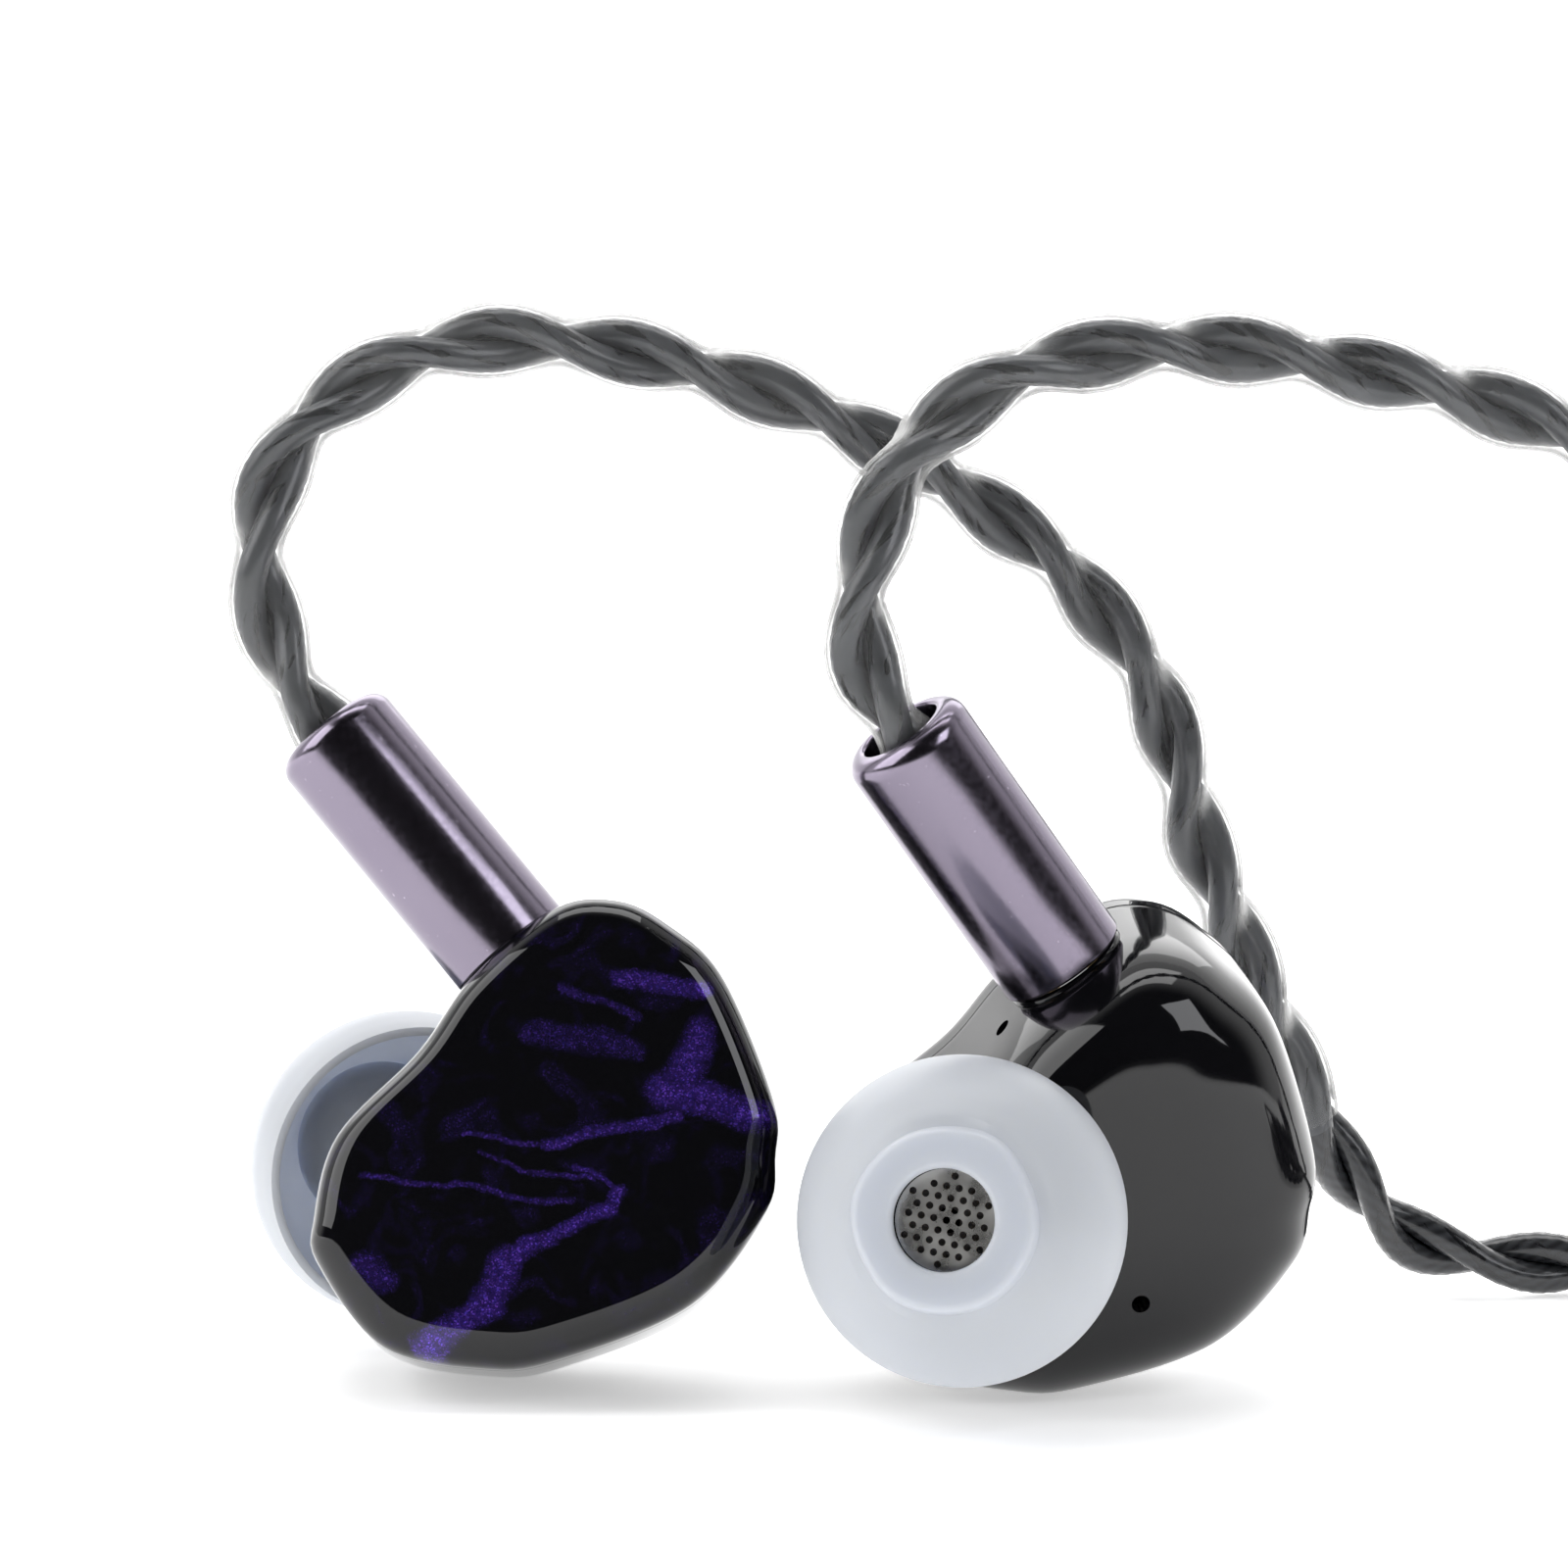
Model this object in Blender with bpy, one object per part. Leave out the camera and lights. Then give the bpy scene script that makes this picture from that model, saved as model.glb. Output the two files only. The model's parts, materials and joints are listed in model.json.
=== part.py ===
"""A pair of in-ear monitors on their detachable cable.

Each earpiece is a resin shell with a domed faceplate, a nozzle that carries a silicone ear tip, a two-pin
socket, and a moving-coil driver inside. It plugs onto a metal connector at the end of a cable branch. The
two branches run through a chin slider into a splitter, and one cable goes on to a 3.5 mm plug.
+Z is up, +X runs from the left-ear piece to the right-ear piece, and the left piece's faceplate looks
along -Y. The right earpiece is the left one's mirror image in Y.
"""

import math

import bmesh
import bpy
from mathutils import Matrix, Vector

MM = 0.001

# How the two earpieces stand: middle of the shell, then yaw, lean towards the ear side, and roll.
LEFT_CENTRE = (-8.73, 1.21, 9.78)
LEFT_TURNS = (0.0, 13.4, 2.9)
RIGHT_TURNS = (7.4, 9.7, 7.2)

# Shell. Depths run from the faceplate side, which is negative, to the ear side.
SHELL_WIDTH = 18.6
SHELL_HEIGHT = 19.2
PAIR_ROOM = 2.93
RIGHT_CENTRE = (LEFT_CENTRE[0] + SHELL_WIDTH + PAIR_ROOM, -0.35, 9.69)
SHELL_EAR_DEPTH = 6.9
SEAM_DEPTH = -3.4
TAPER_START = -1.25
TAPER_POWER = 4.1
SHELL_WALL = 1.0
POLE_SHIFT = (-1.8, -0.6)
OUTLINE_STEPS = 32
TAPER_STEPS = 5

# The faceplate's outline, in half widths and half heights from the middle of the shell.
OUTLINE = [
    (0.22, 0.99),
    (0.45, 0.9),
    (0.7, 0.69),
    (0.95, 0.18),
    (0.97, -0.05),
    (0.94, -0.29),
    (0.64, -0.69),
    (0.07, -0.95),
    (-0.24, -1),
    (-0.68, -0.93),
    (-0.98, -0.6),
    (-1.01, -0.42),
    (-0.93, -0.06),
    (-0.6, 0.31),
    (-0.39, 0.63),
    (-0.05, 0.94),
]

# Faceplate.
FACEPLATE_THICKNESS = 2.35
FACEPLATE_ROUND = 1.75
FACEPLATE_CROWN = 0.15
SPIGOT_HEIGHT = 0.6

# Small gaps between pieces that touch.
CLEARANCE = 0.12
RUNNING_CLEARANCE = 0.05

# Connector: its foot is on the outline, in half widths and half heights.
CONNECTOR_FOOT = (-0.24, 0.81)
CONNECTOR_TILT = 42.4
BARREL_DIAMETER = 5.35
BARREL_LENGTH = 11.9
BARREL_ROUND = 0.8
BARREL_WALL = 0.55
CABLE_HOLE_DIAMETER = 3.4
INSERT_LENGTH = 6.0
PIN_DIAMETER = 0.78
PIN_SPACING = 2.06
PIN_REACH = 3.3
PIN_TAIL = 1.2
BOSS_DIAMETER = 5.1
BOSS_DEPTH = 3.2
SOCKET_DIAMETER = 3.6
SOCKET_LENGTH = 4.0
CONTACT_WALL = 0.18

# Nozzle and ear tip. The nozzle's foot is in half widths, half heights and shares of the ear-side depth.
NOZZLE_FOOT = (-0.55, 0.86, -0.17)
NOZZLE_AZIMUTH = 19.5
NOZZLE_RISE = 15.9
NOZZLE_DIAMETER = 4.4
NOZZLE_LIP_RISE = 0.175
NOZZLE_LIP_DIAMETER = NOZZLE_DIAMETER + 2 * NOZZLE_LIP_RISE
NOZZLE_LENGTH = 9.2
NOZZLE_BORE_DIAMETER = 3.2
MESH_DIAMETER = 4.0
MESH_THICKNESS = 0.2
DAMPER_THICKNESS = 0.5
TIP_DIAMETER = 13.0
TIP_REAR = 3.0
TIP_WIDEST = 5.0
TIP_FRONT = 10.3
TIP_WALL = 0.45
TIP_CORE_WALL = 0.6
TIP_FRONT_RIM = 0.205
TIP_FRONT_DIAMETER = NOZZLE_LIP_DIAMETER + 2 * (CLEARANCE + TIP_CORE_WALL + TIP_FRONT_RIM)
TIP_BORE_DIAMETER = 4.0

# Vents: on the ear side, and in the upper wall beside the connector.
VENT_DIAMETER = 0.75
EAR_VENT = (0.19, -0.43)
WALL_VENT = (-0.46, 0.51)
WALL_VENT_DEPTH = 0.8

# Driver. Its axis is at DRIVER_AXIS, in half widths and half heights.
DRIVER_AXIS = (0.13, -0.16)
FRONT_CHAMBER = 3.2
DRIVER_THICKNESS = 4.2
DRIVER_CLEARANCE = 0.25
FRAME_WALL = 0.3
YOKE_WALL = 0.45
MAGNET_THICKNESS = 1.2
POLE_PLATE_THICKNESS = 0.5
COIL_WALL = 0.15
COIL_GAP = 0.15
COIL_HEIGHT = 1.1
DIAPHRAGM_THICKNESS = 0.12
DIAPHRAGM_TRAVEL = 0.2
DIAPHRAGM_ROOM = 0.45
BOARD_SIZE = (3.6, 1.6, 0.3)
WIRE_DIAMETER = 0.4

# Cable.
SLEEVE_DIAMETER = 3.0
CABLE_DIAMETER = 2.8
CABLE_POINT_SPACING = 8.0
SLEEVE_POINT_SPACING = 6.0
END_GAP = 0.3

# Stowed cable: an oval hank of the main cable, with the splitter in a lane beside it.
HANK_CENTRE = (96.57, 3.38)
HANK_RUN = 30.0
HANK_INNER_RADIUS = 7.0
HANK_COLUMNS = 3
HANK_LAYERS = 2
HANK_BASE = 0.9
LANE_Y = 22.98
LANE_Z = 3.3
SPLITTER_START = 100.57
SPLITTER_LENGTH = 13.0
SPLITTER_DIAMETER = 6.4
BRANCH_SPACING = 3.0
SLIDER_START = 92.07
SLIDER_LENGTH = 7.0
SLIDER_WIDTH = 7.6
TIE_WIDTH = 8.0
TIE_THICKNESS = 0.6
TIE_GAP = 0.3
TIE_OUTER_Y = -18.82

# Plug, lying along the hank's back run.
PLUG_START = (83.57, 14.58, 10.0)
RELIEF_LENGTH = 9.0
RELIEF_DIAMETER = 4.4
PLUG_BARREL_LENGTH = 15.0
PLUG_BARREL_DIAMETER = 6.4
JACK_DIAMETER = 3.5
JACK_LENGTH = 14.0

ROUND_STEPS = 20
DRIVER_STEPS = 16
SMALL_STEPS = 10

MIRROR = Matrix.Diagonal((1.0, -1.0, 1.0, 1.0))

# Keeps the corners of a small bore off the corners of the round piece that it cuts.
TURNED = Matrix.Rotation(math.radians(11.0), 4, "Z")

LEFT_HOOK_ROUTE = [
    (-15.97, 4.56, 23.82), (-18.52, 5.27, 26.83), (-19.73, 5.58, 28.5), (-20.63, 5.88, 30.9),
    (-20.98, 6.13, 33.5), (-20.53, 6.43, 36.2), (-18.63, 6.88, 39.1), (-15.23, 7.28, 41.3),
    (-11.33, 7.58, 42.15), (-7.43, 7.98, 41.9), (-3.83, 8.28, 41.15), (-0.13, 8.68, 39.95),
    (3.47, 9.08, 38.4), (6.77, 9.68, 36.5), (9.77, 10.38, 34.5), (12.37, 11.18, 32.3),
    (14.57, 11.98, 29.7), (16.17, 12.68, 27.0), (17.17, 13.68, 24.0), (17.97, 14.68, 21.2),
    (19.07, 15.78, 18.2), (20.17, 16.88, 15.5), (21.37, 17.98, 12.7), (22.77, 19.18, 9.7),
    (24.47, 20.38, 6.5),
]
LEFT_BRANCH_ROUTE = [
    (24.79, 20.63, 5.85), (25.87, 21.28, 4.3), (27.67, 21.98, 2.7), (29.97, 22.38, 1.8),
    (33.57, 22.58, 1.4), (40.57, 22.78, 1.4), (48.57, 23.98, 1.4), (56.57, 25.98, 1.4),
    (64.57, 27.98, 1.4), (72.57, 28.88, 1.4), (82.57, 28.98, 1.4), (96.57, 28.98, 1.4),
    (111.57, 28.98, 1.6), (122.37, 26.08, 1.9), (130.27, 18.18, 2.1), (133.07, 7.43, 2.3),
    (130.27, -3.32, 2.3), (122.37, -11.22, 2.3), (111.57, -14.12, 2.3), (101.57, -14.12, 2.3),
    (91.57, -14.12, 2.3), (81.57, -14.12, 2.3), (72.67, -11.72, 2.4), (66.17, -5.22, 2.6),
    (63.77, 3.68, 2.8), (66.17, 12.58, 3.1), (72.67, 18.98, 3.3), (79.57, 21.38, 3.3),
    (84.57, 21.48, 3.3), (91.57, 21.48, 3.3), (100.27, 21.48, 3.3),
]
RIGHT_HOOK_ROUTE = [
    (7.04, -3.64, 24.42), (4.82, -4.48, 27.64), (3.97, -4.77, 29.2), (3.57, -4.92, 31.2),
    (3.77, -4.82, 33.6), (4.97, -4.22, 37.1), (7.47, -3.42, 39.8), (10.57, -2.72, 41.45),
    (14.57, -1.92, 42.15), (18.67, -1.12, 42.1), (22.67, -0.32, 41.45), (26.77, 0.48, 40.5),
    (30.87, 1.28, 39.2), (34.47, 2.08, 37.4), (37.77, 2.88, 35.0), (40.67, 3.78, 31.9),
    (42.97, 4.78, 28.4), (44.67, 5.88, 24.8), (46.07, 7.28, 21.0), (47.47, 8.98, 17.3),
    (49.17, 10.98, 13.9), (51.27, 13.38, 11.0),
]
RIGHT_BRANCH_ROUTE = [
    (51.65, 13.8, 10.5), (53.87, 16.58, 8.6), (56.87, 20.38, 6.8), (60.37, 24.58, 5.5),
    (64.17, 28.58, 4.7), (68.57, 31.18, 3.3), (74.07, 32.38, 1.9), (80.57, 32.48, 1.4),
    (88.57, 32.28, 1.4), (98.57, 32.18, 1.4), (111.57, 32.38, 1.6), (124.37, 29.18, 1.9),
    (133.57, 20.08, 2.1), (136.97, 7.43, 2.3), (133.57, -5.22, 2.3), (124.37, -14.42, 2.3),
    (111.57, -17.62, 2.3), (103.57, -17.32, 2.3), (96.57, -17.22, 2.3), (89.57, -17.32, 2.3),
    (81.57, -17.52, 2.3), (70.87, -14.82, 2.4), (62.97, -7.02, 2.6), (60.07, 3.68, 2.8),
    (62.97, 14.38, 3.1), (70.77, 22.18, 3.3), (78.57, 24.68, 3.3), (84.57, 24.58, 3.3),
    (91.57, 24.48, 3.3), (100.27, 24.48, 3.3),
]
LEAD_IN_ROUTE = [
    (113.87, 22.98, 3.3), (117.07, 22.58, 3.2), (121.07, 20.38, 3.0), (125.17, 15.98, 2.75),
    (127.87, 10.18, 2.5), (128.87, 4.18, 2.3),
]
LEAD_OUT_ROUTE = [
    (67.87, 7.38, 8.3), (69.77, 11.58, 8.6), (73.57, 14.28, 9.3), (78.57, 14.78, 9.9),
    (83.27, 14.58, 10.0),
]


# ---- Materials ----


def material(name, colour, roughness, metallic=0.0, alpha=1.0):
    made = bpy.data.materials.new(name)
    made.use_nodes = True
    shader = made.node_tree.nodes["Principled BSDF"]
    shader.inputs["Base Color"].default_value = (*colour, 1.0)
    shader.inputs["Roughness"].default_value = roughness
    shader.inputs["Metallic"].default_value = metallic
    shader.inputs["Alpha"].default_value = alpha
    return made


def make_materials():
    return {
        "resin": material("black_resin", (0.01, 0.01, 0.012), 0.06),
        "face": material("violet_resin", (0.03, 0.015, 0.09), 0.05),
        "silicone": material("white_silicone", (0.86, 0.88, 0.92), 0.35, alpha=0.85),
        "gunmetal": material("violet_gunmetal", (0.30, 0.27, 0.34), 0.28, 1.0),
        "steel": material("steel_mesh", (0.72, 0.70, 0.66), 0.3, 1.0),
        "gold": material("gold_contact", (0.83, 0.62, 0.26), 0.25, 1.0),
        "black": material("black_plastic", (0.02, 0.02, 0.022), 0.4),
        "foam": material("grey_foam", (0.25, 0.25, 0.26), 0.9),
        "film": material("diaphragm_film", (0.78, 0.74, 0.66), 0.35),
        "copper": material("copper_wire", (0.72, 0.38, 0.22), 0.35, 1.0),
        "magnet": material("magnet_nickel", (0.62, 0.61, 0.60), 0.25, 1.0),
        "iron": material("plated_iron", (0.50, 0.50, 0.52), 0.3, 1.0),
        "board": material("green_board", (0.03, 0.16, 0.08), 0.45),
        "red": material("red_insulation", (0.55, 0.04, 0.04), 0.45),
        "cable": material("charcoal_jacket", (0.035, 0.038, 0.042), 0.35),
        "sleeve": material("clear_sleeve", (0.62, 0.62, 0.60), 0.15, alpha=0.5),
        "strap": material("black_strap", (0.02, 0.02, 0.02), 0.85),
    }


# ---- Shapes ----


def mm(*values):
    return Vector([value * MM for value in values])


def lofted(rings):
    """One closed body through rings of equal length, its two ends closed to a middle point."""
    bm = bmesh.new()
    rows = [[bm.verts.new(point) for point in ring] for ring in rings]
    count = len(rows[0])
    for low, high in zip(rows, rows[1:]):
        for i in range(count):
            j = (i + 1) % count
            bm.faces.new((low[i], low[j], high[j], high[i]))
    for ring in (rows[0], rows[-1]):
        middle = sum((vert.co for vert in ring), Vector()) / count
        hub = bm.verts.new(middle)
        for i in range(count):
            bm.faces.new((ring[i], ring[(i + 1) % count], hub))
    bmesh.ops.recalc_face_normals(bm, faces=bm.faces)
    return bm


def turned(profile, steps=ROUND_STEPS):
    """A body turned about Z from (radius, height) points in millimetres.

    The profile starts and ends on the axis, or it is a loop that stays clear of it.
    """
    bm = bmesh.new()
    rows = []
    for radius, height in profile:
        turns = steps if radius > 0 else 1
        angles = [2 * math.pi * k / steps for k in range(turns)]
        rows.append([bm.verts.new(mm(radius * math.cos(a), radius * math.sin(a), height)) for a in angles])
    pairs = list(zip(rows, rows[1:]))
    if profile[0][0] > 0:
        pairs.append((rows[-1], rows[0]))
    for low, high in pairs:
        for i in range(steps):
            j = i + 1
            corners = (low[i % len(low)], low[j % len(low)], high[j % len(high)], high[i % len(high)])
            bm.faces.new(list(dict.fromkeys(corners)))
    bmesh.ops.recalc_face_normals(bm, faces=bm.faces)
    return bm


def rounded(centre_radius, centre_height, radius, start, end, steps=4):
    """Points on an arc of a turned profile, its angles in degrees from the outward direction."""
    points = []
    for k in range(steps + 1):
        angle = math.radians(start + (end - start) * k / steps)
        points.append((centre_radius + radius * math.cos(angle), centre_height + radius * math.sin(angle)))
    return points


def rod(radius, low, high, steps=ROUND_STEPS):
    return turned([(0, low), (radius, low), (radius, high), (0, high)], steps)


def tube(inner, outer, low, high, steps=ROUND_STEPS):
    return turned([(inner, low), (outer, low), (outer, high), (inner, high)], steps)


def block(size, centre=(0, 0, 0)):
    bm = bmesh.new()
    bmesh.ops.create_cube(bm, size=1.0)
    bmesh.ops.scale(bm, vec=mm(*size), verts=bm.verts)
    bmesh.ops.translate(bm, vec=mm(*centre), verts=bm.verts)
    return bm


def oval(half_run, radius, z, steps=8):
    """Points of an oval about the origin: two runs along X and two round ends."""
    points = []
    for end in (1, -1):
        for k in range(steps + 1):
            angle = math.radians(-90 + 180 * k / steps) if end > 0 else math.radians(90 + 180 * k / steps)
            points.append(mm(end * half_run + radius * math.cos(angle), radius * math.sin(angle), z))
    return points


def smooth_line(route, spacing):
    """Points at an even spacing on a smooth curve through the route's points, all in millimetres."""
    knots = [Vector(point) for point in route]
    knots = [2 * knots[0] - knots[1], *knots, 2 * knots[-1] - knots[-2]]
    fine = []
    for before, start, end, after in zip(knots, knots[1:], knots[2:], knots[3:]):
        for k in range(20):
            t = k / 20
            fine.append(
                0.5
                * (
                    2 * start
                    + (end - before) * t
                    + (2 * before - 5 * start + 4 * end - after) * t * t
                    + (3 * start - before - 3 * end + after) * t ** 3
                )
            )
    fine.append(knots[-2])
    lengths = [0.0]
    for a, b in zip(fine, fine[1:]):
        lengths.append(lengths[-1] + (b - a).length)
    count = max(2, round(lengths[-1] / spacing))
    points = []
    k = 0
    for step in range(count + 1):
        wanted = lengths[-1] * step / count
        while k < len(fine) - 2 and lengths[k + 1] < wanted:
            k += 1
        share = (wanted - lengths[k]) / (lengths[k + 1] - lengths[k])
        points.append(fine[k].lerp(fine[k + 1], share))
    return points


# ---- Objects ----


class Side:
    """One earpiece's place, and the empties that its pieces hang from."""

    def __init__(self, name, sign, centre, turns):
        self.name = name
        self.sign = sign
        place = Matrix.Translation(mm(*centre))
        yaw, lean, roll = (math.radians(turn) for turn in turns)
        place @= Matrix.Rotation(yaw, 4, "Z") @ Matrix.Rotation(-sign * lean, 4, "X")
        place @= Matrix.Rotation(roll, 4, "Y")
        self.foot = self.mirrored(connector_frame())
        self.earpiece = self.empty(name + "_earpiece", place @ self.foot)
        self.connector = self.empty(name + "_connector", place @ self.foot)

    def mirrored(self, frame):
        return MIRROR @ frame @ MIRROR if self.sign < 0 else frame

    def empty(self, name, place):
        made = bpy.data.objects.new(name, None)
        bpy.context.scene.collection.objects.link(made)
        made.matrix_world = place
        return made

    def add(self, part, bm, frame, look, on_connector=False):
        """An object from a mesh that is built about a frame of the left earpiece."""
        if self.sign < 0:
            bm.transform(MIRROR)
            bmesh.ops.reverse_faces(bm, faces=bm.faces)
        made = object_from(self.name + "_" + part, bm, look)
        made.parent = self.connector if on_connector else self.earpiece
        made.matrix_parent_inverse = self.foot.inverted()
        made.matrix_basis = self.mirrored(frame)
        return made

    def cutter(self, part, bm, frame, on_connector=False):
        made = self.add(part, bm, frame, None, on_connector)
        made.hide_render = True
        made.display_type = "WIRE"
        return made


def object_from(name, bm, look):
    mesh = bpy.data.meshes.new(name)
    bm.to_mesh(mesh)
    bm.free()
    mesh.shade_smooth()
    mesh.set_sharp_from_angle(angle=math.radians(35))
    if look:
        mesh.materials.append(look)
    made = bpy.data.objects.new(name, mesh)
    bpy.context.scene.collection.objects.link(made)
    return made


def combine(target, other, operation):
    modifier = target.modifiers.new(operation.lower() + "_" + other.name, "BOOLEAN")
    modifier.operation = operation
    modifier.solver = "EXACT"
    modifier.object = other


def cord(name, route, diameter, spacing, look):
    data = bpy.data.curves.new(name, "CURVE")
    data.dimensions = "3D"
    data.bevel_depth = diameter / 2 * MM
    data.bevel_resolution = 2
    data.use_fill_caps = True
    line = smooth_line(route, spacing)
    spline = data.splines.new("POLY")
    spline.points.add(len(line) - 1)
    for point, place in zip(spline.points, line):
        point.co = (*(place * MM), 1.0)
    data.materials.append(look)
    made = bpy.data.objects.new(name, data)
    bpy.context.scene.collection.objects.link(made)
    return made


# ---- Places in an earpiece ----


def on_face(shares):
    """A place in the outline's plane from shares of the half width and half height."""
    return shares[0] * SHELL_WIDTH / 2, shares[1] * SHELL_HEIGHT / 2


def axis_frame(origin, direction, near=(0, 1, 0)):
    """A frame whose Z runs along a direction, and whose Y stays near another one."""
    z = Vector(direction).normalized()
    x = Vector(near).cross(z).normalized()
    y = z.cross(x)
    frame = Matrix((x, y, z)).transposed().to_4x4()
    frame.translation = mm(*origin)
    return frame


def connector_frame():
    """At the connector's foot, with Z up the barrel and X across it in the outline's plane."""
    x, z = on_face(CONNECTOR_FOOT)
    tilt = math.radians(CONNECTOR_TILT)
    return axis_frame((x, 0, z), (-math.sin(tilt), 0, math.cos(tilt)))


def nozzle_frame():
    """At the nozzle's foot on the ear side, with Z out along the nozzle."""
    x, z = on_face((NOZZLE_FOOT[0], NOZZLE_FOOT[2]))
    side, rise = math.radians(NOZZLE_AZIMUTH), math.radians(NOZZLE_RISE)
    direction = (-math.sin(side) * math.cos(rise), math.cos(side) * math.cos(rise), math.sin(rise))
    return axis_frame((x, NOZZLE_FOOT[1] * SHELL_EAR_DEPTH, z), direction, near=(0, 0, 1))


def driver_front():
    return SHELL_EAR_DEPTH - FRONT_CHAMBER


def driver_frame():
    """On the driver's axis at its front face, with Z towards the ear."""
    x, z = on_face(DRIVER_AXIS)
    return axis_frame((x, driver_front(), z), (0, 1, 0), near=(0, 0, 1))


def outline_points():
    """The outline as evenly spaced (x, z) points, from a closed smooth curve through OUTLINE."""
    corners = [Vector(on_face(point)) for point in OUTLINE]
    fine = []
    count = len(corners)
    for i in range(count):
        before, start, end, after = (corners[(i + k) % count] for k in (-1, 0, 1, 2))
        for k in range(12):
            t = k / 12
            fine.append(
                0.5
                * (
                    2 * start
                    + (end - before) * t
                    + (2 * before - 5 * start + 4 * end - after) * t * t
                    + (3 * start - before - 3 * end + after) * t ** 3
                )
            )
    fine.append(fine[0].copy())
    lengths = [0.0]
    for a, b in zip(fine, fine[1:]):
        lengths.append(lengths[-1] + (b - a).length)
    points = []
    k = 0
    for step in range(OUTLINE_STEPS):
        wanted = lengths[-1] * step / OUTLINE_STEPS
        while lengths[k + 1] < wanted:
            k += 1
        points.append(fine[k].lerp(fine[k + 1], (wanted - lengths[k]) / (lengths[k + 1] - lengths[k])))
    return points


def section(depth, share, shift=1.0):
    """The outline at a depth, drawn in to a share of its size and moved towards the nozzle as it shrinks."""
    move_x, move_z = (value * (1 - share) * shift for value in POLE_SHIFT)
    return [mm(x * share + move_x, depth, z * share + move_z) for x, z in outline_points()]


def inset(distance):
    """The share of the outline's size that draws it in by a distance."""
    return 1 - distance * 4 / (SHELL_WIDTH + SHELL_HEIGHT)


def taper(start_depth, end_depth, base):
    """Sections that close in towards the ear side along a superellipse."""
    rings = []
    for k in range(TAPER_STEPS):
        angle = math.radians(90) * k / TAPER_STEPS
        depth = start_depth + (end_depth - start_depth) * math.sin(angle) ** (2 / TAPER_POWER)
        rings.append(section(depth, base * math.cos(angle) ** (2 / TAPER_POWER)))
    return rings


def share_at(depth, base, end_depth):
    reach = max(0.0, min(1.0, (depth - TAPER_START) / (end_depth - TAPER_START)))
    return base * (1 - reach ** TAPER_POWER) ** (1 / TAPER_POWER)


def driver_radius():
    """The largest radius that clears the cavity's wall at the driver's front, the socket block and the wires."""
    share = share_at(driver_front(), inset(SHELL_WALL), SHELL_EAR_DEPTH - SHELL_WALL)
    axis = Vector(on_face(DRIVER_AXIS))
    shift = Vector(POLE_SHIFT) * (1 - share)
    wall = min((point * share + shift - axis).length for point in outline_points())
    foot = connector_frame()
    ends = [foot @ mm(side * SOCKET_DIAMETER / 2, 0, -SOCKET_LENGTH - PIN_TAIL / 2) / MM for side in (-1, 1)]
    ends += [wire_end(foot, shift) for _, shift in pin_shifts()]
    near = min((Vector((end.x, end.z)) - axis).length for end in ends) - WIRE_DIAMETER / 2
    return min(wall, near) - DRIVER_CLEARANCE


def wire_end(foot, shift):
    """Where a signal wire meets the tail of its contact."""
    return foot @ mm(shift, 0, -SOCKET_LENGTH - PIN_TAIL - WIRE_DIAMETER - 0.1) / MM


# ---- Earpiece ----


def make_shell(side, looks):
    rings = [section(SEAM_DEPTH + CLEARANCE, 1.0)]
    rings += taper(TAPER_START, SHELL_EAR_DEPTH, 1.0)
    shell = side.add("shell", lofted(rings), Matrix.Identity(4), looks["resin"])
    foot = connector_frame()
    nozzle = nozzle_frame()
    boss = rod(BOSS_DIAMETER / 2, -BOSS_DEPTH, -CLEARANCE)
    combine(shell, side.cutter("boss_form", boss, foot), "UNION")
    lip_start = NOZZLE_LENGTH - 1.0
    stem = turned(
        [
            (0, -2.5),
            (NOZZLE_DIAMETER / 2, -2.5),
            (NOZZLE_DIAMETER / 2, lip_start - 0.4),
            (NOZZLE_LIP_DIAMETER / 2, lip_start),
            (NOZZLE_LIP_DIAMETER / 2, NOZZLE_LENGTH - 0.3),
            (NOZZLE_LIP_DIAMETER / 2 - 0.15, NOZZLE_LENGTH),
            (0, NOZZLE_LENGTH),
        ]
    )
    combine(shell, side.cutter("nozzle_form", stem, nozzle), "UNION")
    wall_share = inset(SHELL_WALL)
    inner = [section(SEAM_DEPTH - 1.0, wall_share)]
    inner += taper(TAPER_START, SHELL_EAR_DEPTH - SHELL_WALL, wall_share)
    combine(shell, side.cutter("cavity_form", lofted(inner), Matrix.Identity(4)), "DIFFERENCE")
    mesh_seat = NOZZLE_LENGTH - MESH_THICKNESS - DAMPER_THICKNESS - 2 * CLEARANCE
    bore = turned(
        [
            (0, -3.5),
            (NOZZLE_BORE_DIAMETER / 2, -3.5),
            (NOZZLE_BORE_DIAMETER / 2, mesh_seat),
            (MESH_DIAMETER / 2 + CLEARANCE / 2, mesh_seat),
            (MESH_DIAMETER / 2 + CLEARANCE / 2, NOZZLE_LENGTH + 1.0),
            (0, NOZZLE_LENGTH + 1.0),
        ]
    )
    combine(shell, side.cutter("nozzle_bore_form", bore, nozzle), "DIFFERENCE")
    pocket = rod(SOCKET_DIAMETER / 2 + CLEARANCE, -BOSS_DEPTH - SOCKET_LENGTH, 1.0)
    combine(shell, side.cutter("socket_form", pocket, foot), "DIFFERENCE")
    for name, place, direction, reach in vent_lines():
        form = rod(VENT_DIAMETER / 2, -reach, reach, SMALL_STEPS)
        frame = axis_frame(place, direction, near=(0.3, 0.2, 0.9))
        combine(shell, side.cutter(name, form, frame), "DIFFERENCE")
    return shell


def vent_lines():
    """Name, place, direction and half length of each vent's bore."""
    x, z = on_face(EAR_VENT)
    ear = ("ear_vent_form", (x, SHELL_EAR_DEPTH - 1.0, z), (0, 1, 0), 2.5)
    x, z = on_face(WALL_VENT)
    wall = ("wall_vent_form", (x, WALL_VENT_DEPTH, z), (-0.85, 0, 0.53), 2.0)
    return ear, wall


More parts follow.
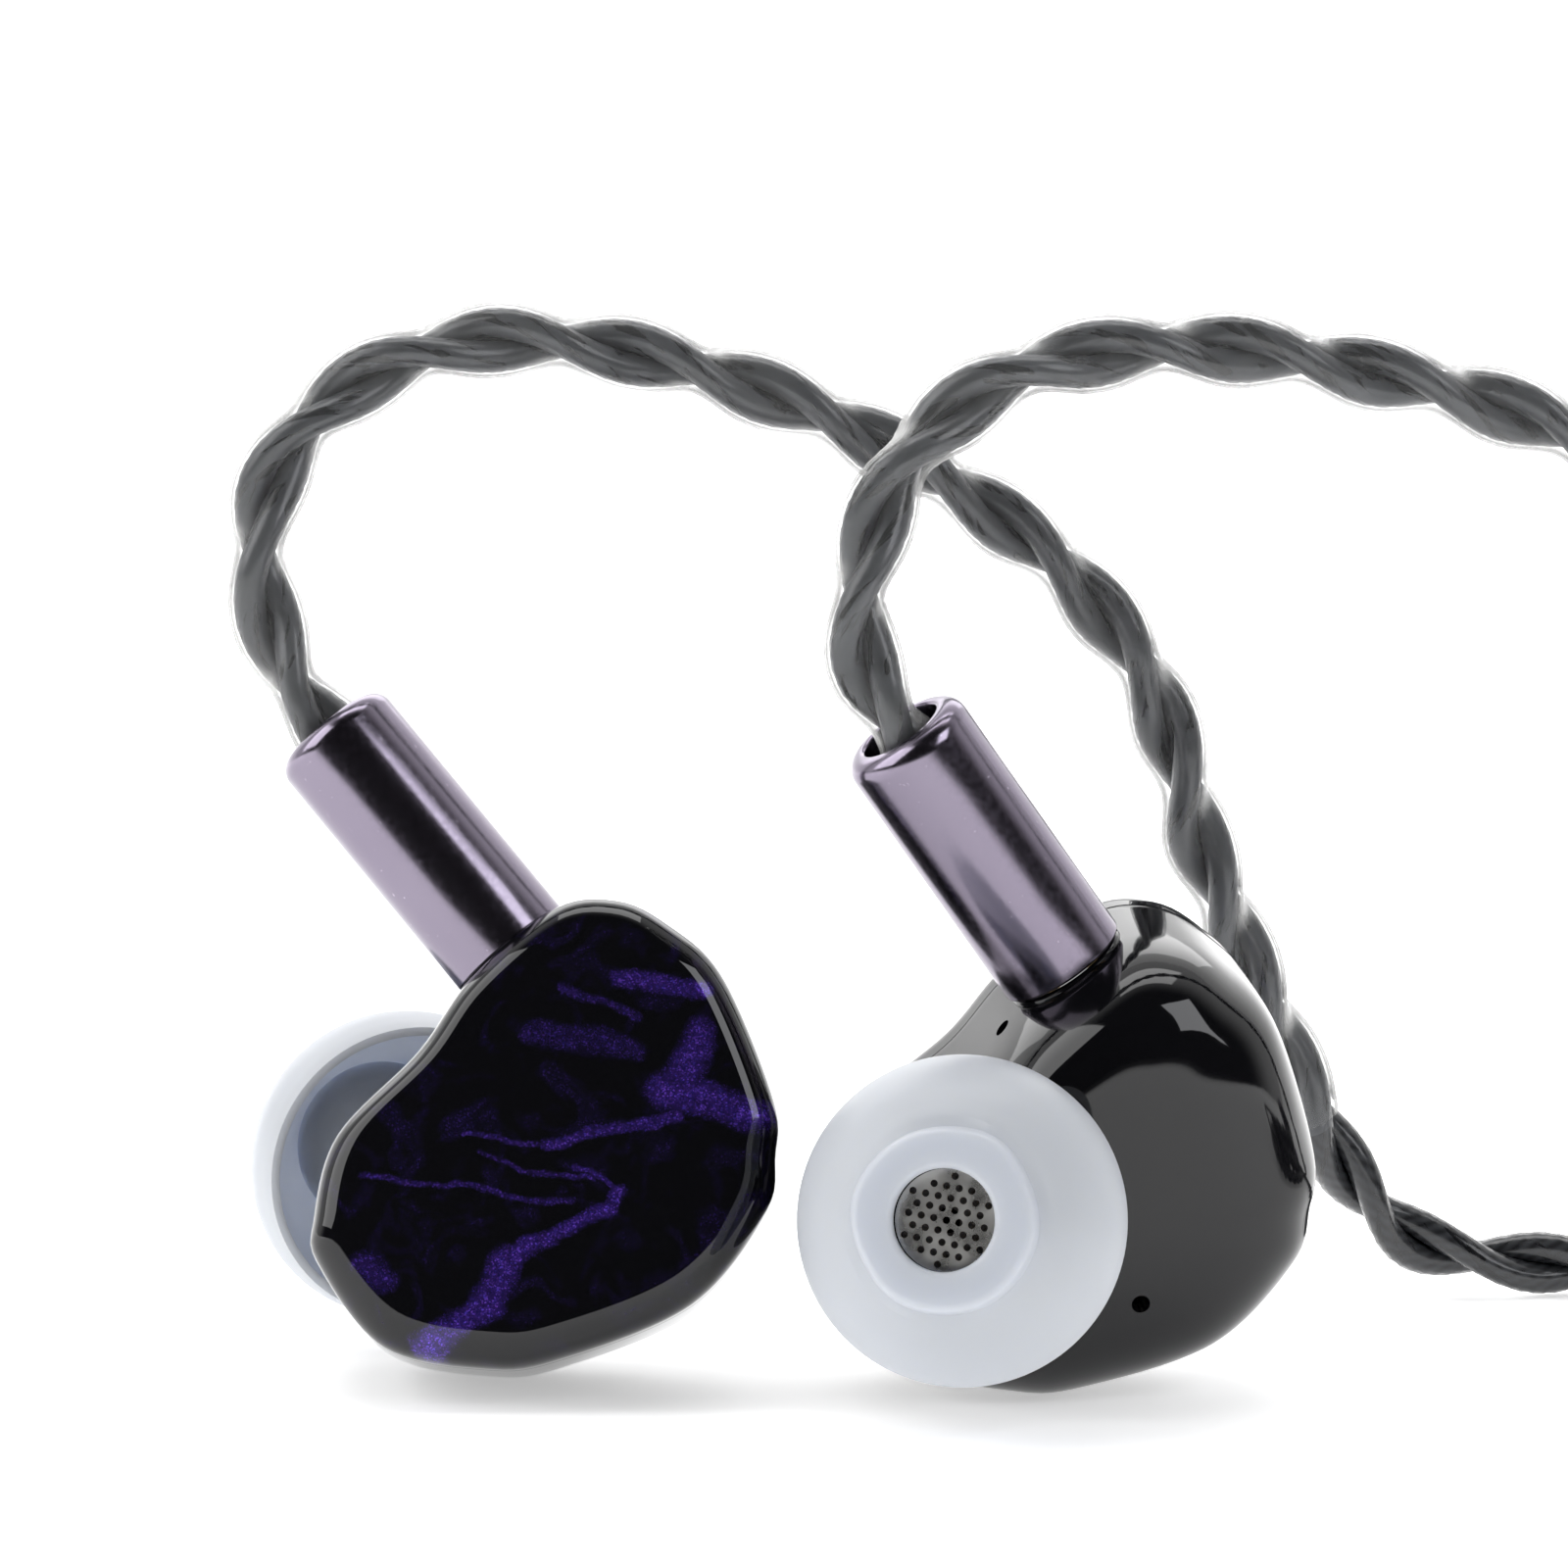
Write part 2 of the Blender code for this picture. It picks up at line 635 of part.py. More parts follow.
def make_faceplate(side, looks):
    flat = SEAM_DEPTH - FACEPLATE_THICKNESS
    spigot = inset(SHELL_WALL + CLEARANCE)
    rings = [
        section(SEAM_DEPTH + SPIGOT_HEIGHT, spigot),
        section(SEAM_DEPTH, spigot),
        section(SEAM_DEPTH, 1.0),
    ]
    for k in range(5):
        angle = math.radians(90 * k / 4)
        depth = flat + FACEPLATE_ROUND * (1 - math.sin(angle))
        rings.append(section(depth, inset(FACEPLATE_ROUND * (1 - math.cos(angle))), 0.0))
    rings.append(section(flat - FACEPLATE_CROWN * 0.7, 0.5, 0.0))
    rings.append(section(flat - FACEPLATE_CROWN, 0.2, 0.0))
    return side.add("faceplate", lofted(rings), Matrix.Identity(4), looks["face"])


def make_nozzle_parts(side, looks):
    nozzle = nozzle_frame()
    radius = MESH_DIAMETER / 2
    mesh_low = NOZZLE_LENGTH - MESH_THICKNESS
    damper_high = mesh_low - CLEARANCE
    side.add("nozzle_mesh", rod(radius, mesh_low, NOZZLE_LENGTH), nozzle, looks["steel"])
    damper = tube(0.5, radius - CLEARANCE, damper_high - DAMPER_THICKNESS, damper_high)
    side.add("nozzle_damper", damper, nozzle, looks["foam"])


def make_ear_tip(side, looks):
    """A core tube that grips the nozzle, and a skirt that turns back from its front end."""
    core_inner = NOZZLE_LIP_DIAMETER / 2 + CLEARANCE
    core_outer = core_inner + TIP_CORE_WALL
    widest = TIP_DIAMETER / 2
    front = TIP_FRONT_DIAMETER / 2
    dome = TIP_FRONT - TIP_WIDEST - 0.6
    outside = []
    for k in range(5):
        angle = math.radians(75 * k / 4)
        outside.append((front + (widest - front) * math.cos(angle) ** 0.9, TIP_WIDEST + dome * math.sin(angle)))
    inside = [(radius - TIP_WALL, height - TIP_WALL * 0.6) for radius, height in reversed(outside[:-1])]
    profile = [
        (TIP_BORE_DIAMETER / 2, TIP_FRONT - 0.25),
        (core_inner, NOZZLE_LENGTH + CLEARANCE),
        (core_inner, TIP_REAR + 0.3),
        (core_outer, TIP_REAR + 0.3),
        (core_outer, TIP_WIDEST + dome * 0.55),
        (core_outer + 0.5, TIP_WIDEST + dome * 0.8),
        *inside,
        (widest - TIP_WALL - 0.15, TIP_REAR + 0.9),
        (widest - TIP_WALL - 0.35, TIP_REAR),
        (widest - 0.35, TIP_REAR),
        (widest - 0.1, TIP_REAR + 0.9),
        *outside,
        (front, TIP_FRONT - 0.2),
        (front - 0.35, TIP_FRONT),
        (TIP_BORE_DIAMETER / 2 + 0.3, TIP_FRONT),
    ]
    side.add("ear_tip", turned(profile), nozzle_frame(), looks["silicone"])


def make_socket(side, looks):
    foot = connector_frame()
    top = -2 * CLEARANCE
    hole = PIN_DIAMETER / 2 + RUNNING_CLEARANCE + CONTACT_WALL + RUNNING_CLEARANCE
    socket = rod(SOCKET_DIAMETER / 2, top - SOCKET_LENGTH, top, 24)
    socket = side.add("socket_block", socket, foot, looks["black"])
    for letter, shift in pin_shifts():
        place = foot @ Matrix.Translation(mm(shift, 0, 0))
        bore = rod(hole, top - SOCKET_LENGTH - 1, top + 1, SMALL_STEPS)
        combine(socket, side.cutter("contact_form_" + letter, bore, place @ TURNED), "DIFFERENCE")
        outer = hole - RUNNING_CLEARANCE
        contact = turned(
            [
                (0, top - SOCKET_LENGTH - PIN_TAIL / 2),
                (outer, top - SOCKET_LENGTH - PIN_TAIL / 2),
                (outer, top - 0.1),
                (outer - CONTACT_WALL, top - 0.1),
                (outer - CONTACT_WALL, top - PIN_REACH - 0.15),
                (0, top - PIN_REACH - 0.15),
            ],
            SMALL_STEPS,
        )
        side.add("contact_" + letter, contact, place, looks["gold"])


def pin_shifts():
    return ("a", -PIN_SPACING / 2), ("b", PIN_SPACING / 2)


def make_driver(side, looks):
    """From the back: terminal board, frame with its yoke, magnet, pole plate, coil and diaphragm."""
    frame = driver_frame()
    radius = driver_radius()
    back = -DRIVER_THICKNESS
    magnet_radius = radius * 0.45
    yoke_inner = magnet_radius + 2 * COIL_GAP + COIL_WALL
    yoke_outer = yoke_inner + YOKE_WALL
    gap = RUNNING_CLEARANCE
    step = back + YOKE_WALL + gap + MAGNET_THICKNESS
    plate_top = step + gap + POLE_PLATE_THICKNESS
    coil_top = plate_top + DIAPHRAGM_TRAVEL + 0.25
    ledge = coil_top + gap - DIAPHRAGM_ROOM
    basket = [
        (yoke_outer + gap, back),
        (radius - 0.6, back),
        (radius, back + 0.6),
        (radius, 0),
        (radius - FRAME_WALL, 0),
        (radius - FRAME_WALL, ledge),
        (radius - FRAME_WALL - 0.4, ledge),
        (radius - FRAME_WALL - 0.4, back + 0.9),
        (radius - FRAME_WALL - 0.7, back + FRAME_WALL),
        (yoke_outer + gap, back + FRAME_WALL),
    ]
    side.add("driver_frame", turned(basket, DRIVER_STEPS), frame, looks["black"])
    yoke = [
        (0.5, back),
        (yoke_outer, back),
        (yoke_outer, step + gap + POLE_PLATE_THICKNESS),
        (yoke_inner, step + gap + POLE_PLATE_THICKNESS),
        (yoke_inner, back + YOKE_WALL),
        (0.5, back + YOKE_WALL),
    ]
    side.add("driver_yoke", turned(yoke, DRIVER_STEPS), frame, looks["iron"])
    magnet = tube(0.5, magnet_radius, step - MAGNET_THICKNESS, step, DRIVER_STEPS)
    side.add("driver_magnet", magnet, frame, looks["magnet"])
    plate = tube(0.5, magnet_radius, step + gap, plate_top, DRIVER_STEPS)
    side.add("driver_pole_plate", plate, frame, looks["iron"])
    coil_inner = magnet_radius + COIL_GAP
    coil = tube(coil_inner, coil_inner + COIL_WALL, coil_top - COIL_HEIGHT, coil_top, DRIVER_STEPS)
    side.add("voice_coil", coil, frame, looks["copper"])
    make_diaphragm(side, looks, frame, radius, coil_inner, coil_top + gap)


def make_diaphragm(side, looks, frame, radius, coil_radius, base):
    """A domed film whose half-roll edge rests on the frame's step."""
    edge = radius - FRAME_WALL - 0.15
    top = []
    for k in range(4):
        angle = math.radians(90 * k / 3)
        top.append((coil_radius * math.sin(angle), base + 0.6 * math.cos(angle)))
    middle = (coil_radius + edge) / 2
    half = (edge - coil_radius) / 2
    for k in range(1, 5):
        angle = math.radians(180 * k / 4)
        top.append((middle - half * math.cos(angle), base + 0.45 * math.sin(angle)))
    under = [(r, h - DIAPHRAGM_THICKNESS) for r, h in reversed(top)]
    lift = DIAPHRAGM_THICKNESS
    profile = [(r, h + lift) for r, h in top] + [(r, h + lift) for r, h in under]
    side.add("diaphragm", turned(profile, DRIVER_STEPS), frame, looks["film"])


def make_board(side, looks):
    frame = driver_frame()
    length, width, thick = BOARD_SIZE
    depth = -DRIVER_THICKNESS - CLEARANCE - thick / 2
    side.add("terminal_board", block((length, width, thick), (0, 0, depth)), frame, looks["board"])
    foot = connector_frame()
    for (letter, shift), turn, look in zip(pin_shifts(), (1, -1), ("black", "red")):
        tail = wire_end(foot, shift)
        start = frame @ mm(turn * length * 0.3, 0, depth - thick / 2 - WIRE_DIAMETER / 2 - 0.1) / MM
        bend = Vector((start.x, start.y - 0.1, start.z + (tail.z - start.z) * 0.45))
        lift = Vector((tail.x, start.y + 0.2, start.z + (tail.z - start.z) * 0.85))
        make_wire(side, "signal_wire_" + letter, (start, bend, lift, tail), looks[look])


def make_wire(side, name, route, look):
    """A thin lead: a small ring carried along a smooth line."""
    line = smooth_line(route, 1.0)
    rings = []
    for i, point in enumerate(line):
        ahead = line[min(i + 1, len(line) - 1)] - line[max(i - 1, 0)]
        frame = axis_frame(point, ahead, near=(1, 0.2, 0))
        angles = [2 * math.pi * k / 6 for k in range(6)]
        radius = WIRE_DIAMETER / 2
        rings.append([frame @ mm(radius * math.cos(a), radius * math.sin(a), 0) for a in angles])
    side.add(name, lofted(rings), Matrix.Identity(4), look)


# ---- Connector on the cable ----


def make_connector(side, looks):
    foot = connector_frame()
    radius = BARREL_DIAMETER / 2
    bore = radius - BARREL_WALL
    hole = CABLE_HOLE_DIAMETER / 2
    round_over = min(BARREL_ROUND, radius - hole - 0.15)
    profile = [
        (bore, 0),
        (radius - 0.1, 0),
        (radius, 0.1),
        *rounded(radius - round_over, BARREL_LENGTH - round_over, round_over, 0, 90),
        (hole + 0.1, BARREL_LENGTH),
        (hole, BARREL_LENGTH - 0.1),
        (hole, BARREL_LENGTH - 4.0),
        (bore, BARREL_LENGTH - 4.4),
    ]
    side.add("connector_barrel", turned(profile), foot, looks["gunmetal"], on_connector=True)
    hole = PIN_DIAMETER / 2 + RUNNING_CLEARANCE
    insert = rod(bore - CLEARANCE, 0, INSERT_LENGTH, 24)
    insert = side.add("connector_insert", insert, foot, looks["black"], on_connector=True)
    for letter, shift in pin_shifts():
        place = foot @ Matrix.Translation(mm(shift, 0, 0))
        form = rod(hole, -1, INSERT_LENGTH + 1, SMALL_STEPS)
        form = side.cutter("pin_form_" + letter, form, place @ TURNED, on_connector=True)
        combine(insert, form, "DIFFERENCE")
        tip = PIN_DIAMETER / 2
        pin = turned(
            [(0, -PIN_REACH), (tip * 0.5, -PIN_REACH), (tip, -PIN_REACH + 0.3)]
            + [(tip, INSERT_LENGTH + PIN_TAIL), (0, INSERT_LENGTH + PIN_TAIL)],
            SMALL_STEPS,
        )
        side.add("pin_" + letter, pin, place, looks["gold"], on_connector=True)


# ---- Cable ----


def make_cords(looks):
    for side, hook, branch in (
        ("left", LEFT_HOOK_ROUTE, LEFT_BRANCH_ROUTE),
        ("right", RIGHT_HOOK_ROUTE, RIGHT_BRANCH_ROUTE),
    ):
        cord(side + "_ear_hook", hook, SLEEVE_DIAMETER, SLEEVE_POINT_SPACING, looks["sleeve"])
        cord(side + "_branch_cable", branch, CABLE_DIAMETER, CABLE_POINT_SPACING, looks["cable"])
    cord("main_lead_in", LEAD_IN_ROUTE, CABLE_DIAMETER, CABLE_POINT_SPACING, looks["cable"])
    cord("main_lead_out", LEAD_OUT_ROUTE, CABLE_DIAMETER, CABLE_POINT_SPACING, looks["cable"])


def ring_prism(outer, inner):
    """A closed band between two loops of points that share their count, each given as (low, high) rows."""
    bm = bmesh.new()
    rows = [[bm.verts.new(point) for point in row] for row in (outer[0], outer[1], inner[1], inner[0])]
    count = len(rows[0])
    for k in range(4):
        for i in range(count):
            j = (i + 1) % count
            low, high = rows[k], rows[(k + 1) % 4]
            bm.faces.new((low[i], low[j], high[j], high[i]))
    bmesh.ops.recalc_face_normals(bm, faces=bm.faces)
    return bm


def make_hank(looks):
    low = HANK_BASE
    high = low + HANK_LAYERS * CABLE_DIAMETER
    outer = HANK_INNER_RADIUS + HANK_COLUMNS * CABLE_DIAMETER
    bm = ring_prism(
        [oval(HANK_RUN / 2, outer, z) for z in (low, high)],
        [oval(HANK_RUN / 2, HANK_INNER_RADIUS, z) for z in (low, high)],
    )
    bmesh.ops.translate(bm, vec=mm(*HANK_CENTRE, 0), verts=bm.verts)
    object_from("main_cable_hank", bm, looks["cable"])


def rounded_box(width, height, radius, x, centre, steps=3):
    """A loop of points round a box with rounded corners, across X."""
    points = []
    for corner in range(4):
        turn = 90 * corner
        side_y = (1, -1, -1, 1)[corner] * (width / 2 - radius)
        side_z = (1, 1, -1, -1)[corner] * (height / 2 - radius)
        for k in range(steps + 1):
            angle = math.radians(turn + 90 * k / steps)
            y = centre[0] + side_y + radius * math.cos(angle)
            points.append(mm(x, y, centre[1] + side_z + radius * math.sin(angle)))
    return points


def make_tie(looks):
    """A strap round the hank's front run and the two branches beside it."""
    inner_y = HANK_CENTRE[1] - HANK_INNER_RADIUS + TIE_GAP
    top = HANK_BASE + HANK_LAYERS * CABLE_DIAMETER + TIE_GAP
    bottom = HANK_BASE - TIE_GAP
    width = inner_y - TIE_OUTER_Y
    centre = ((inner_y + TIE_OUTER_Y) / 2, (top + bottom) / 2)
    start = HANK_CENTRE[0] - TIE_WIDTH / 2
    inner = [rounded_box(width, top - bottom, 0.8, x, centre) for x in (start, start + TIE_WIDTH)]
    grow = 2 * TIE_THICKNESS
    outer = [
        rounded_box(width + grow, top - bottom + grow, 0.8 + TIE_THICKNESS, x, centre)
        for x in (start, start + TIE_WIDTH)
    ]
    object_from("cable_tie", ring_prism(outer, inner), looks["strap"])


def along_x(x, y, z):
    """A frame at a place, with Z along +X."""
    return axis_frame((x, y, z), (1, 0, 0), near=(0, 0, 1))


def make_splitter(looks):
    """A turned metal body: the branches enter side by side at one end, and the cable leaves at the other."""
    radius = SPLITTER_DIAMETER / 2
    length = SPLITTER_LENGTH
    bm = turned(
        [
            (0, 0.6),
            (radius - 1.0, 0.6),
            (radius - 0.5, 0),
            *rounded(radius - 0.5, 0.5, 0.5, -70, 0, 2),
            (radius, length - 4.0),
            *rounded(radius - 1.5, length - 1.5, 1.5, 0, 80, 3),
            (CABLE_DIAMETER / 2 + 0.25, length),
            (CABLE_DIAMETER / 2 + 0.1, length - 1.0),
            (0, length - 1.0),
        ]
    )
    made = object_from("y_splitter", bm, looks["gunmetal"])
    made.matrix_world = along_x(SPLITTER_START, LANE_Y, LANE_Z)


def make_slider(looks):
    """A bead on both branches, which slides along them to take up slack under the chin."""
    hole_radius = CABLE_DIAMETER / 2 + CLEARANCE
    size = (SLIDER_WIDTH, SPLITTER_DIAMETER)
    centre = (LANE_Y, LANE_Z)
    start, end = SLIDER_START, SLIDER_START + SLIDER_LENGTH
    hole = (BRANCH_SPACING + 2 * hole_radius, 2 * hole_radius)
    outer = [rounded_box(*size, 2.8, x, centre, 5) for x in (start, end)]
    inner = [rounded_box(*hole, hole_radius * 0.98, x, centre, 5) for x in (start, end)]
    object_from("chin_slider", ring_prism(outer, inner), looks["gunmetal"])


def make_plug(looks):
    """Strain relief, barrel, and the jack's three contacts on an insulating core."""
    cable = CABLE_DIAMETER / 2
    relief_radius = RELIEF_DIAMETER / 2
    relief = turned(
        [
            (0, 1.5),
            (cable + 0.1, 1.5),
            (cable + 0.2, 0),
            (cable + 0.6, 0),
            (relief_radius, RELIEF_LENGTH * 0.8),
            (relief_radius, RELIEF_LENGTH),
            (0, RELIEF_LENGTH),
        ]
    )
    radius = PLUG_BARREL_DIAMETER / 2
    low = RELIEF_LENGTH + END_GAP
    high = low + PLUG_BARREL_LENGTH
    barrel = turned(
        [(0, low), (radius - 0.5, low)]
        + rounded(radius - 0.5, low + 0.5, 0.5, -80, 0, 2)
        + rounded(radius - 0.4, high - 0.4, 0.4, 0, 90, 2)
        + [(0, high)]
    )
    jack = JACK_DIAMETER / 2
    base = high + END_GAP
    core = 0.9
    neck = base + 6.0
    ring_high = neck + 2.6
    gap = 0.6
    tip_low = ring_high + gap
    tip_high = base + JACK_LENGTH
    ground = tube(core + CLEARANCE, jack, base, neck, 24)
    ring = tube(core + CLEARANCE, jack, neck + gap, ring_high, 24)
    insulator = turned(
        [(0, base), (core, base), (core, neck + CLEARANCE), (jack - 0.05, neck + CLEARANCE)]
        + [(jack - 0.05, neck + gap - CLEARANCE), (core, neck + gap - CLEARANCE)]
        + [(core, ring_high + CLEARANCE), (jack - 0.05, ring_high + CLEARANCE)]
        + [(jack - 0.05, tip_low - CLEARANCE), (0, tip_low - CLEARANCE)],
        24,
    )
    tip = turned(
        [(0, tip_low), (jack, tip_low), (jack, tip_low + 0.6), (jack * 0.72, tip_low + 1.5)]
        + [(jack, tip_low + 2.6), (jack * 0.8, tip_high - 0.8), (jack * 0.35, tip_high), (0, tip_high)],
        24,
    )
    place = along_x(*PLUG_START)
    for name, bm, look in (
        ("plug_strain_relief", relief, "black"),
        ("plug_barrel", barrel, "gunmetal"),
        ("plug_ground", ground, "gold"),
        ("plug_ring", ring, "gold"),
        ("plug_insulator", insulator, "black"),
        ("plug_tip", tip, "gold"),
    ):
        object_from(name, bm, looks[look]).matrix_world = place


def main():
    for old in list(bpy.data.objects):
        bpy.data.objects.remove(old, do_unlink=True)
    looks = make_materials()
    for side in (Side("left", 1, LEFT_CENTRE, LEFT_TURNS), Side("right", -1, RIGHT_CENTRE, RIGHT_TURNS)):
        make_shell(side, looks)
        make_faceplate(side, looks)
        make_nozzle_parts(side, looks)
        make_ear_tip(side, looks)
        make_socket(side, looks)
        make_driver(side, looks)
        make_board(side, looks)
        make_connector(side, looks)
    make_cords(looks)
    make_hank(looks)
    make_tie(looks)
    make_splitter(looks)
    make_slider(looks)
    make_plug(looks)


main()
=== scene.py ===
"""Looks of a pair of in-ear monitors on their over-ear cable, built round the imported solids."""

import json
import math

import bmesh
import bpy
from mathutils import Matrix, Vector

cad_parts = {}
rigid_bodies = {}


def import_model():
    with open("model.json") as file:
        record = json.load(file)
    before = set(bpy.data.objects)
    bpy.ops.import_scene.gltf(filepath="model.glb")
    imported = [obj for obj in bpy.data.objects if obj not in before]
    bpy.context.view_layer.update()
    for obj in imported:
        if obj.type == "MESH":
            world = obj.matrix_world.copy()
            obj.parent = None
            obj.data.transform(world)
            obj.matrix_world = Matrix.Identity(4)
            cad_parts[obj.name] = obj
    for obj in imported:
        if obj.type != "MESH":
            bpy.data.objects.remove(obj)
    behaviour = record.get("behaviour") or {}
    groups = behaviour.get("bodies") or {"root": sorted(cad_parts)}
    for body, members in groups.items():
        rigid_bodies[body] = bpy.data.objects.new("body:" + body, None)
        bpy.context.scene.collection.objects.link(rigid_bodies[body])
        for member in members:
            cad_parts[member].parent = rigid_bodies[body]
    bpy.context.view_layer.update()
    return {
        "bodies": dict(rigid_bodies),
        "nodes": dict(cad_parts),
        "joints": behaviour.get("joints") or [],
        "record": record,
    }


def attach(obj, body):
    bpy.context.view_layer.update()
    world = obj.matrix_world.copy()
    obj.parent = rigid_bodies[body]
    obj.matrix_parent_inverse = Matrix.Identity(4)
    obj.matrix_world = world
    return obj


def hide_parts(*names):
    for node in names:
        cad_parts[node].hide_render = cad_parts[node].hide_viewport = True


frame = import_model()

KEPT = [*frame["nodes"].values(), *frame["bodies"].values()]
for other in [each for each in bpy.data.objects if each not in KEPT]:
    bpy.data.objects.remove(other, do_unlink=True)
MM = 0.001
RANGE_SOCKETS = ("From Min", "From Max", "To Min", "To Max")


def mm(*values):
    return Vector([value * MM for value in values])


# ---- Camera and light ----

AIM = mm(0.57, 3.38, 24.21)
ELEVATION = math.radians(5.5)
DISTANCE = 0.314
SEEN_WIDTH = 0.064  # what the picture spans at the aim
SENSOR_WIDTH = 36.0


def make_camera():
    data = bpy.data.cameras.new("camera")
    camera = bpy.data.objects.new("camera", data)
    bpy.context.scene.collection.objects.link(camera)
    out = Vector((0, -math.cos(ELEVATION), math.sin(ELEVATION)))
    camera.location = AIM + out * DISTANCE
    camera.rotation_euler = (-out).to_track_quat("-Z", "Y").to_euler()
    data.sensor_width = SENSOR_WIDTH
    data.lens = SENSOR_WIDTH * DISTANCE / SEEN_WIDTH
    data.clip_start = 0.01
    bpy.context.scene.camera = camera


def area_light(name, place, target, width, height, power, colour=(1, 1, 1)):
    data = bpy.data.lights.new(name, "AREA")
    data.shape = "RECTANGLE"
    data.size, data.size_y = width, height
    data.energy = power
    data.color = colour
    light = bpy.data.objects.new(name, data)
    bpy.context.scene.collection.objects.link(light)
    light.location = place
    light.rotation_euler = (Vector(target) - Vector(place)).to_track_quat("-Z", "Y").to_euler()
    return light


def make_light():
    aim = (0.0, 0.0, 0.015)
    area_light("key", (-0.44, -0.13, 0.30), aim, 0.42, 0.42, 1.5)
    area_light("side", (0.42, -0.34, 0.37), aim, 0.26, 0.36, 1.0, (0.96, 0.97, 1.0))
    front = area_light("front", (0.150, -0.484, 0.337), aim, 0.30, 0.30, 0.35)
    front.visible_glossy = False
    area_light("top", (0.0, 0.12, 0.70), aim, 0.60, 0.30, 1.5)
    area_light("back", (-0.10, 0.60, 0.45), aim, 1.00, 0.30, 1.4)
    world = bpy.data.worlds.new("studio")
    bpy.context.scene.world = world
    world.use_nodes = True
    nodes, links = world.node_tree.nodes, world.node_tree.links
    axes = nodes.new("ShaderNodeSeparateXYZ")
    links.new(nodes.new("ShaderNodeTexCoord").outputs["Generated"], axes.inputs[0])
    ramp = nodes.new("ShaderNodeMapRange")
    ramp.interpolation_type = "SMOOTHSTEP"
    links.new(axes.outputs["Y"], ramp.inputs["Value"])
    for key, value in zip(RANGE_SOCKETS, (-0.30, 0.20, 0.02, 0.85)):
        ramp.inputs[key].default_value = value
    seen = nodes.new("ShaderNodeMix")
    links.new(nodes.new("ShaderNodeLightPath").outputs["Is Camera Ray"], seen.inputs["Factor"])
    links.new(ramp.outputs["Result"], seen.inputs["A"])
    seen.inputs["B"].default_value = 1.0
    sky = nodes["Background"]
    sky.inputs["Color"].default_value = (1, 1, 1, 1)
    links.new(seen.outputs["Result"], sky.inputs["Strength"])


SWEEP_START, SWEEP_BEND, FLOOR_HALF, FLOOR_DROP = 0.4, 0.5, 1.6, 0.00003


def make_floor():
    """A white sweep that curves up behind the object; in reflections it ends in the dark in front. Its surface glows
    as painted light, weakly near the object and fully white farther off.
    """
    bm = bmesh.new()
    depths = [(-1.2, 0.0), (-0.4, 0.0), (0.0, 0.0), (SWEEP_START, 0.0)]
    for degrees in range(6, 91, 6):
        angle = math.radians(degrees)
        depths.append((SWEEP_START + SWEEP_BEND * math.sin(angle), SWEEP_BEND - SWEEP_BEND * math.cos(angle)))
    depths += [(0.9, 1.4)]
    rows = [[bm.verts.new((x, y, z - FLOOR_DROP)) for x in (-FLOOR_HALF, FLOOR_HALF)] for y, z in depths]
    for low, high in zip(rows, rows[1:]):
        bm.faces.new((low[0], low[1], high[1], high[0]))
    floor = plain_object("floor", bm)
    look = Look("white_floor", (0.90, 0.90, 0.90), 0.6)
    place = look.place()
    far = look.node("VectorMath", {0: place}, operation="LENGTH")
    seen = look.node("LightPath").outputs["Is Camera Ray"]
    axes = look.node("SeparateXYZ", {0: place})
    # lit is 1 where the floor shows pale and glows; in front, for reflections only, it is 0 and the floor is painted
    # dark.
    lit = look.maths("MAXIMUM", look.span(axes.outputs["Y"], -0.24, -0.10, 0.0, 1.0, smooth=True), seen)
    grain = look.noise(40.0, 3.0)
    pale = look.mix(grain, (0.88, 0.88, 0.88), (0.91, 0.91, 0.91))
    look.feed("Base Color", look.mix(lit, (0.05, 0.05, 0.05), pale))
    # Painted light: the floor glows, at 0.42 near the object and at full strength 0.4 m away.
    glow = look.span(far.outputs["Value"], 0.0, 0.40, 0.42, 1.0)
    look.feed("Emission Strength", look.maths("MULTIPLY", glow, lit))
    look.set("Emission Color", (1, 1, 1, 1))
    floor.data.materials.append(look.made)


# ---- Materials ----


